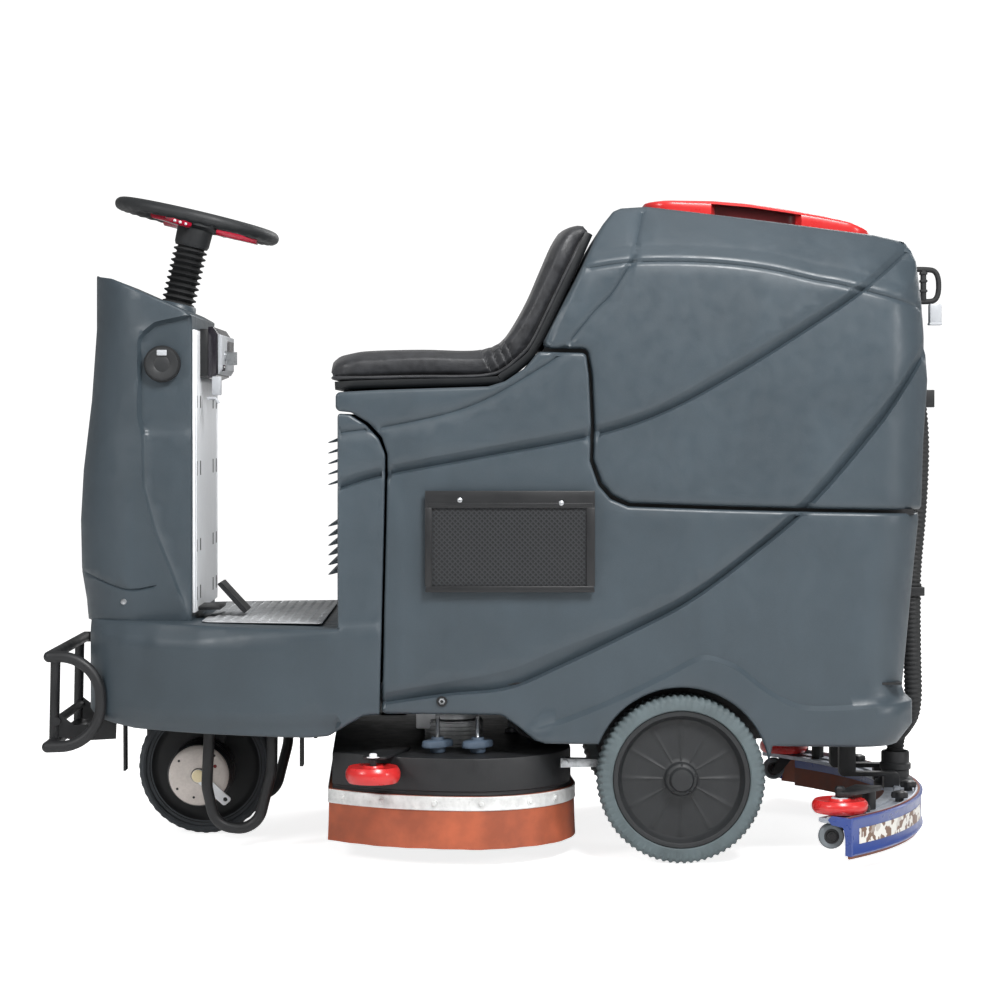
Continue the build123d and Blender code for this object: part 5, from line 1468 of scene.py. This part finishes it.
def brush(name, x, y):
    base = (x * MM, y * MM, 0)
    plate = Build().revolve(in_mm([(14.1, 99.5), (14.1, 150), (34, 150), (34, 96), (60, 92), (170, 92),
                                   (178, 89), (178, 79), (170, 76), (0, 76), (0, 99.5)]), base, UP, 64)
    plate = plate.done(name + "_block", name, M["black"], 35)
    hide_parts(name)
    tufts = Build()
    for ring, count in ((80, 26), (104, 34), (128, 42), (150, 50), (167, 56)):
        for k in range(count):
            a = 2 * math.pi * (k + 0.5 * (ring % 2)) / count
            foot = Vector((x + ring * math.cos(a), y + ring * math.sin(a), 76)) * MM
            out = Vector((math.cos(a), math.sin(a), 0))
            tip = foot + out * 0.004 + Vector((0, 0, -0.0462))
            tufts.tube([foot, foot.lerp(tip, 0.6) + out * 0.001, tip], [0.0040, 0.0052, 0.0066], 6)
    tufts.done(name + "_tufts", name, M["bristle"], 60)


# ---- squeegee -----------------------------------------------------------------------------------
SQ_X, SQ_HALF = 104.0, 44.0     # x of the arcs' centre, and half their angle in degrees


def arc_band(shape, section, half_angle, steps=72, first=None):
    """Sweeps a section of (radius, z) points round the squeegee's arc."""
    rings = []
    start = -half_angle if first is None else first
    for a in np.linspace(math.radians(start), math.radians(half_angle), steps):
        rings.append([Vector((SQ_X + r * math.cos(a), r * math.sin(a), z)) * MM for r, z in section])
    return shape.rings(rings)


def squeegee():
    blades = Build()
    arc_band(blades, [(672.2, 98), (675.9, 98), (675.9, 34), (674.9, 27.5), (672.2, 28.2)], SQ_HALF)
    arc_band(blades, [(636.2, 84), (639.8, 84), (639.8, 31), (638.8, 29.5), (636.2, 29.5)], 38)
    blades = blades.done("squeegee_lips", "squeegee", M["brown"])
    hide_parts("squeegee_blades")
    band = Build()
    section = [(676, 33), (679.5, 33), (681.5, 36), (680.6, 40), (679, 43), (679, 88), (680.6, 91), (681, 95),
               (679, 97), (676, 97)]
    arc_band(band, section, SQ_HALF - 0.3)
    for sign in (-1, 1):
        a = math.radians(sign * (SQ_HALF - 0.2))
        tangent = Vector((-math.sin(a), math.cos(a), 0)) * sign
        rings = []
        for step in (0.0, 4.0):
            ring = []
            for r, z in ((676, 97), (640, 97), (632, 90), (640, 82), (664, 80), (668, 60), (668, 33),
                         (681, 33), (681, 97)):
                p = Vector((SQ_X + r * math.cos(a), r * math.sin(a), z)) + tangent * step
                ring.append(p * MM)
            rings.append(ring)
        band.rings(rings)
    arc_band(band, [(635.8, 92), (632.6, 92), (631.8, 88), (631.8, 70), (632.6, 66), (635.8, 66)], 37.5)
    band = band.done("squeegee_clamp_band", "squeegee", M["blue"], 35)
    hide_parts("squeegee_strap")
    label = Build()
    arc_band(label, [(679.1, 52), (679.6, 52), (679.6, 78), (679.1, 78)], -15, 28, first=-42)
    label.done("band_label", "squeegee", M["label"])
    flange = Build()
    arc_band(flange, [(612, 92), (612, 86), (616, 84), (668, 84), (672, 86), (672, 97), (668, 97.5),
                      (666, 92.5), (640, 92), (638, 95), (630, 95), (628, 92)], SQ_HALF)
    arc_band(flange, [(640.2, 60), (645.8, 60), (645.8, 85), (640.2, 85)], 38)
    flange = flange.done("squeegee_beam", "squeegee", M["pale_steel"], 35)
    fittings = Build()
    for x, y in ((584.0, -398.0), (584.0, 398.0)):
        side = math.copysign(1, y)
        arm = rounded([(x - 14, y + side * 12), (x + 14, y + side * 12), (x + 84, y - side * 70),
                       (x + 40, y - side * 90)], [8, 8, 2, 2])
        fittings.prism(arm, 0.124, 0.132, 0.001, plane="xy")
        fittings.tube([(x * MM, y * MM, 0.088), (x * MM, y * MM, 0.136)], 0.006, 20)
        post = ((x + 60) * MM, (y - side * 66) * MM)
        fittings.tube([(*post, 0.088), (*post, 0.128)], 0.012, 24)
        fittings.revolve(in_mm([(0, 142), (6, 141), (9, 138), (9, 132)]), (x * MM, y * MM, 0), UP, 6)
    for x, y in ((566.0, -420.0), (566.0, 420.0)):
        side = math.copysign(1, y)
        low, high = sorted((y - side * 13.0, y - side * 19.0))
        leg = rounded([(x - 9, 51), (x + 9, 51), (x + 40, 86), (x + 12, 86)], [6, 6, 0, 0])
        fittings.prism(leg, low * MM, high * MM, 0.001)
        fittings.tube([(x * MM, (y - side * 13) * MM, 0.060), (x * MM, (y + side * 9) * MM, 0.060)],
                      0.005, 16)
    for y in (-90.0, 90.0):
        for dy in (-16.0, 10.0):
            lug = rounded([(582, 178), (622, 178), (622, 212), (582, 212)], [1, 1, 9, 9])
            fittings.prism(lug, (y + dy) * MM, (y + dy + 6) * MM, 0.001)
    fittings.box((0.582, -0.106, 0.172), (0.660, 0.106, 0.180), 0.001)
    for y in (-60.0, 60.0):
        step = rounded([(630, 174), (630, 112), (712, 112), (712, 88), (740, 88), (740, 120), (660, 120),
                        (660, 174)],
                       [1, 8, 1, 1, 1, 8, 1, 1])
        fittings.prism(step, (y - 12) * MM, (y + 12) * MM, 0.001)
    fittings.revolve(in_mm([(22, 84), (22, 150), (24, 151), (26, 148), (26, 130), (29, 128), (29, 118),
                            (26, 116), (26, 104), (36, 96), (40, 92), (40, 86), (22, 84)]), (0.744, 0, 0),
                     UP, 48)
    piece = fittings.done("squeegee_fittings", "squeegee", M["black_steel"], 35)
    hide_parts("squeegee_frame")
    knobs = Build()

    def lobes(angle, radius, height):
        return radius * (1 + 0.13 * math.cos(5 * angle)), height

    for angle in (-38, -22, -10, 10, 22, 38):
        a = math.radians(angle)
        base = Vector((SQ_X + 655 * math.cos(a), 655 * math.sin(a), 0)) * MM
        knobs.revolve(in_mm([(0, 92), (7, 92), (7, 98), (13, 99), (14, 103), (13, 109), (8, 111),
                             (0, 111)]), base,
                      UP, 40, lobes)
    knobs.done("squeegee_knobs", "squeegee", M["black"], 35)
    for index, name in enumerate(("left", "right")):
        side = (-1, 1)[index]
        bump_roller("squeegee_roller_" + name, 584, side * 398, 48.0, 95.0, 121.0)
        caster("caster_" + name, 566, side * 420)


def caster(name, x, y):
    base = (x * MM, y * MM, 0.060)
    tyre = Build().revolve(in_mm([(13, -7), (15, -8), (19, -8), (21.4, -5.5), (22, -2), (22, 2),
                                  (21.4, 5.5), (19, 8), (15, 8), (13, 7)]), base, FAR, 40, closed=True)
    tyre = tyre.done(name + "_tyre", name, M["roller_grey"], 35)
    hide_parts(name)
    hub = Build().revolve(in_mm([(5.1, -7.6), (8, -7.8), (9, -5), (13.1, -5), (13.1, 5), (9, 5), (8, 7.8),
                                 (5.1, 7.6)]), base, FAR, 32, closed=True)
    hub.done(name + "_hub", name, M["black"], 35)


# ---- hoses --------------------------------------------------------------------------------------
SUCTION_ROUTE = [(744, 0, 152), (744, 0, 182), (748, -50, 198), (762, -96, 238), (759, -100, 330),
                 (757, -100, 470), (772, -100, 620), (776, -100, 760), (766, -100, 812)]
DRAIN_ROUTE = [(744, -100, 1041), (782, -100, 1043), (807, -100, 1038), (807, -100, 986), (782, -100, 982),
               (744, -100, 984)]
CABLE_ROUTE = [(20, -232, 264), (24, -240, 222), (70, -252, 200), (118, -256, 206), (142, -246, 228),
               (150, -232, 264)]


def route_line(points, step):
    """Even points along the smooth spline that a hose follows."""
    curve = bpy.data.curves.new("route", "CURVE")
    curve.dimensions, curve.resolution_u = "3D", 40
    spline = curve.splines.new("NURBS")
    spline.points.add(len(points) - 1)
    for target, place in zip(spline.points, points):
        target.co = (*[c * MM for c in place], 1.0)
    spline.order_u = 3
    spline.use_endpoint_u = True
    holder = bpy.data.objects.new("route", curve)
    mesh = bpy.data.meshes.new_from_object(holder)
    raw = [v.co.copy() for v in mesh.vertices]
    bpy.data.objects.remove(holder)
    lengths = [0.0]
    for a, b in zip(raw, raw[1:]):
        lengths.append(lengths[-1] + (b - a).length)
    count = max(2, round(lengths[-1] / step))
    even, i = [], 0
    for k in range(count + 1):
        wanted = lengths[-1] * k / count
        while i < len(raw) - 2 and lengths[i + 1] < wanted:
            i += 1
        share = (wanted - lengths[i]) / max(lengths[i + 1] - lengths[i], 1e-9)
        even.append(raw[i].lerp(raw[i + 1], min(1.0, share)))
    return even


def hoses():
    step = 0.0021
    line = route_line(SUCTION_ROUTE, step)
    radii = []
    for i, p in enumerate(line):
        wide = 0.0170 if p.z < 0.47 else 0.0158
        radii.append(wide - 0.0022 * (0.5 - 0.5 * math.cos(2 * math.pi * i / 4)))
    hose = Build().tube(line, radii, 18).done("suction_hose_tube", None, M["black_rubber"], 60)
    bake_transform(hose)
    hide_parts("suction_hose")
    ring = Build().tube(route_line(DRAIN_ROUTE, 0.003), 0.005, 16)
    ring.box((0.774, -0.106, 0.984), (0.784, -0.094, 1.041), 0.003)
    for z in (1.0, 1.018, 1.032):
        ring.box((0.7725, -0.1075, z), (0.7855, -0.0925, z + 0.005), 0.001)
    ring = ring.done("drain_hose_loop", "root", M["black_rubber"], 60)
    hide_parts("drain_hose")
    cap = Build().box((0.789, -0.112, 0.942), (0.811, -0.090, 0.979), 0.0028)
    cap.box((0.7882, -0.1128, 0.940), (0.8115, -0.0892, 0.9445), 0.0012)
    cap.done("drain_cap", "root", M["pale"])
    clips = Build()
    for x, z, tall in ((0.7575, 0.455, 0.008), (0.7755, 0.806, 0.016)):
        outer = x + 0.0185
        clips.box((x - 0.012, -0.120, z - tall), (outer, -0.1165, z + tall), 0.001)
        clips.box((x - 0.012, -0.0835, z - tall), (outer, -0.080, z + tall), 0.001)
        clips.box((outer - 0.001, -0.120, z - tall), (outer + 0.002, -0.080, z + tall), 0.001)
    clips.done("hose_clips", "root", M["black"])
    loop = Build().tube(route_line(CABLE_ROUTE, 0.005), 0.0042, 12)
    z0 = (308 + 8 + 222) * MM
    for x in (-107.0, 69.0):
        for y in (-285.0, -45.0, 45.0, 285.0):
            loop.revolve(in_mm([(0, 16), (7, 16), (8, 14), (8, 4), (11, 3), (11, 0.3)]), (x * MM, y * MM, z0),
                         UP, 20)
    for a, b in (((-99, -45), (61, -45)), ((-107, -37), (-107, 37)), ((69, 37), (69, -37))):
        high = z0 + 0.026
        line = rounded([(a[0] * MM, a[1] * MM, z0 + 0.008),
                        ((a[0] * 3 + b[0]) / 4 * MM, (a[1] * 3 + b[1]) / 4 * MM, high),
                        ((a[0] + b[0] * 3) / 4 * MM, (a[1] + b[1] * 3) / 4 * MM, high),
                        (b[0] * MM, b[1] * MM, z0 + 0.008)],
                       0.012, closed=False)
        loop.tube(line, 0.005, 10)
    loop = loop.done("cables", "root", M["black_rubber"], 60)
    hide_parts("wiring")


# ---- pocket, panel, plate and small pieces ------------------------------------------------------
def net_pocket():
    x0, x1, z0, z1 = -126, 167, 470, 645
    wx0, wx1, wz0, wz1 = -114, 152, 481, 615
    frame_piece = Build()
    face, back = -0.3662, -0.3605
    for loop in ([(x0, z0), (x1, z0), (x1 - 2, wz0), (x0 + 2, wz0)],
                 [(x0, wz1), (x1, wz1), (x1, z1), (x0, z1)],
                 [(x0, wz0 - 1), (wx0, wz0 - 1), (wx0, wz1 + 1), (x0, wz1 + 1)],
                 [(wx1, wz0 - 1), (x1, wz0 - 1), (x1, wz1 + 1), (wx1, wz1 + 1)]):
        frame_piece.prism([Vector(p) for p in loop], face, back, 0.0014)
    lip = [(x0 + 4, wz1 + 3), (x1 - 4, wz1 + 3), (x1 - 4, wz1 + 9), (x0 + 4, wz1 + 9)]
    frame_piece.prism([Vector(p) for p in lip], face - 0.0012, face + 0.001, 0.0006)
    piece = frame_piece.done("pocket_frame", "root", M["black"])
    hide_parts("net_pocket")
    count_x, count_z = 40, 22
    rows = []
    for j in range(count_z + 1):
        row = []
        for i in range(count_x + 1):
            u, v = i / count_x, j / count_z
            sag = 2.0 * math.sin(math.pi * u) * math.sin(math.pi * v)
            ripple = 0.35 * math.sin(u * 23) * math.sin(v * 9) * math.sin(math.pi * v)
            row.append(Vector((wx0 - 2 + (wx1 - wx0 + 4) * u, -362.3 + sag + ripple,
                               wz0 - 2 + (wz1 - wz0 + 4) * v)) * MM)
        rows.append(row)
    verts = [p for row in rows for p in row]
    wide = count_x + 1
    faces = [(j * wide + i, j * wide + i + 1, (j + 1) * wide + i + 1, (j + 1) * wide + i)
             for j in range(count_z) for i in range(count_x)]
    net = add_mesh("pocket_net", verts, faces, "root", M["net"], 60)


def tread_plate():
    outline = rounded([(-524, -250), (-308, -290), (-308, 290), (-524, 250)], [20, 8, 8, 20])
    plate = Build().prism(outline, 0.4094, 0.4112, 0.0004, plane="xy")
    step = 17.0
    for i in range(int(214 / step)):
        for j in range(-16, 17):
            x, y = -514 + step * (i + 0.5), j * step + (step / 2 if i % 2 else 0)
            if abs(y) > 238 + (x + 524) * 0.15:
                continue
            turn = math.radians(45 if (i + j) % 2 else -45)
            c, s = math.cos(turn), math.sin(turn)
            ring = []
            for a, b in ((-6.2, 0), (-2.5, -1.5), (2.5, -1.5), (6.2, 0), (2.5, 1.5), (-2.5, 1.5)):
                ring.append((x + a * c - b * s, y + a * s + b * c))
            low = [Vector((px, py, 411.1)) * MM for px, py in ring]
            high = [Vector((x + (px - x) * 0.55, y + (py - y) * 0.55, 412.2)) * MM for px, py in ring]
            plate.rings([low, high])
    piece = plate.done("tread_plate", "root", M["tread"], 25)
    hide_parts("floor_plate")


def column_details():
    panel = Build().box((-0.5455, -0.196, 0.422), (-0.5400, 0.196, 0.929), 0.0015)
    for y in (-0.185, 0.182):
        panel.box((-0.5405, y, 0.430), (-0.5385, y + 0.003, 0.921), 0.0008)
    piece = panel.done("column_back_panel", "root", M["white"])
    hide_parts("column_panel")
    slots = Build()
    # The slots are thin black patches on the white panel: painted shade of the openings.
    for z, tall in ((0.455, 0.012), (0.541, 0.011), (0.680, 0.013), (0.800, 0.011)):
        for y in (-0.178, -0.118, 0.104, 0.164):
            slots.box((-0.5405, y, z - tall), (-0.5396, y + 0.014, z + tall), 0.0003)
    slots.box((-0.5405, -0.118, 0.846), (-0.5252, 0.118, 0.933), 0.001)
    slots.box((-0.5405, -0.150, 0.424), (-0.500, -0.045, 0.430), 0.001)
    slots.done("panel_slots", "root", M["black"])
    case = Build().prism(rounded([(-525, 842), (-510, 848), (-508, 925), (-516, 937), (-525, 937)],
                                 [1, 2, 3, 4, 1]),
                         -0.120, 0.120, 0.002)
    case = case.done("pod_case", "root", M["gloss"])
    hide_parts("dash_pod")
    plate = Build().prism(rounded([(-508, 848), (-500.4, 860), (-500.4, 922), (-508, 924)], [1, 2, 2, 1]),
                          -0.116, 0.116, 0.0012)
    plate.box((-0.5165, -0.139, 0.812), (-0.5000, -0.1225, 0.846), 0.002)
    plate.done("pod_plate", "root", M["pale"])
    keys = Build()
    for k in range(6):
        y = 0.086 - k * 0.021
        keys.box((-0.5012, y, 0.872), (-0.4992, y + 0.014, 0.886), 0.0008)
    keys.box((-0.5016, -0.018, 0.893), (-0.4998, 0.100, 0.914), 0.0006)
    keys.revolve(in_mm([(0, 4), (5, 3.6), (6, 1), (6, -2)]), (-0.5000, -0.095, 0.862), (1, 0, 0), 24)
    keys.done("pod_keys", "root", M["gloss"], 35)
    hook = Build()
    line = rounded([(-0.524, -0.150, 0.806), (-0.508, -0.150, 0.806), (-0.503, -0.150, 0.797)], 0.005,
                   closed=False)
    hook.tube(line, 0.003, 12)
    hook.done("panel_hook", "root", M["pale"])


FLAP_X, FLAP_Z = -0.598, 0.867   # middle of the round charging cover


def charge_flap():
    cap = Build().revolve(in_mm([(0, 2.2), (12, 2.2), (14, 1.4), (16, 2.6), (24, 3.2), (27, 3.8),
                                 (29, 3.4), (29.5, 2), (29.5, 0.7), (0, 0.7)]), (FLAP_X, -0.2100, FLAP_Z),
                          NEAR, 56)
    cap = cap.done("charge_cap", "charge_flap", M["grain_black"], 35)
    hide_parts("charge_flap")
    latch = Build().box((-0.607, -0.2150, 0.882), (-0.589, -0.2125, 0.892), 0.001)
    latch.done("charge_latch", "charge_flap", M["pale"])
    socket = Build().revolve(in_mm([(26.2, 4), (31.5, 3.4), (33, 1.5), (33, -3), (26.2, -3)]),
                             (FLAP_X, -0.2060, FLAP_Z), NEAR, 56, closed=True)
    socket.done("charge_socket_ring", "root", M["black"], 35)


def leg_louvres():
    shape = Build()
    for z0, z1 in ((480.0, 600.0), (640.0, 750.0)):
        for low, high in ((z0, z0 + 8), (z1 - 8, z1)):
            shape.box((-0.2815, -0.200, low * MM), (-0.2725, 0.200, high * MM), 0.001)
        for y in (-0.200, 0.190):
            shape.box((-0.2815, y, z0 * MM), (-0.2725, y + 0.010, z1 * MM), 0.001)
        count = round((z1 - z0 - 16) / 18)
        for i in range(count):
            z = z0 + 8 + (i + 0.5) * (z1 - z0 - 16) / count
            blade = [(-272.5, z - 1), (-272.5, z + 8), (-284, z + 3), (-302, z - 5), (-303, z - 7),
                     (-298, z - 6.5), (-282, z - 2.5)]
            shape.prism([Vector(point) for point in blade], -0.191, 0.191, 0.0006)
    piece = shape.done("leg_louvres", "root", M["body"])
    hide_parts("leg_vent_grille")


def fastener_heads():
    dark, light = Build(), Build()
    for x, z in ((-66.0, 629.0), (109.0, 624.0)):
        light.revolve(in_mm([(0, 9.4), (2.6, 8.8), (4.4, 7.4), (4.6, 5.5)]), (x * MM, -0.360, z * MM),
                      NEAR, 16)
    for side in (-1, 1):
        bolt, axis = (-0.097, side * 0.352, 0.281), (0, side, 0)
        dark.revolve(in_mm([(9.2, 0), (9.2, 2.0), (8.6, 2.8), (6.6, 2.8), (6.2, 2.2), (6.2, 0)]), bolt,
                     axis, 28, closed=True)
        light.revolve(in_mm([(3.1, 1), (3.1, 4.0), (4.8, 4.2), (5.8, 3.4), (5.8, 1)]), bolt, axis, 6,
                      closed=True)
        dark.revolve(in_mm([(0, 2.8), (3.1, 2.8), (3.1, 0)]), bolt, axis, 6)
        screw = (-0.667, side * 0.1905, 0.442)
        light.revolve(in_mm([(0, 13), (4.5, 12.4), (6, 10.5), (6, 0)]), screw, axis, 20)
        y0, y1 = sorted((side * 0.186, side * 0.1985))
        dark.box((-0.672, y0, 0.418), (-0.655, y1, 0.437), 0.0015)
    piece = light.done("screw_heads", "root", M["steel"], 35)
    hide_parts("fasteners")
    dark.done("bolt_washers", "root", M["black"], 35)


leg_louvres()
fastener_heads()
for side, name in ((-1, "left"), (1, "right")):
    rear_wheel(side, name)
drive_wheel()
deck()
squeegee()
hoses()
net_pocket()
tread_plate()
column_details()
charge_flap()

CAD_LOOKS = {
    "chassis": ["chassis_frame", "lift_actuators", "deck_arms", "squeegee_arms", "seat_hinge"],
    "black_steel": ["front_bumper", "wheel_guards", "drive_fork"],
    "steel": ["steering_shaft", "steering_pinion", "key_switch", "steering_chain"],
    "cast": ["vacuum_motor", "main_controller"],
    "battery": ["batteries"],
    "red": ["emergency_stop"],
    "white": ["brake_lever"],
    "black": ["accelerator_pedal"],
}
for look, names in CAD_LOOKS.items():
    for node_name in names:
        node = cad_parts[node_name]
        if not node.material_slots:
            node.data.materials.append(M[look])
        for holder in node.material_slots:
            holder.material = M[look]
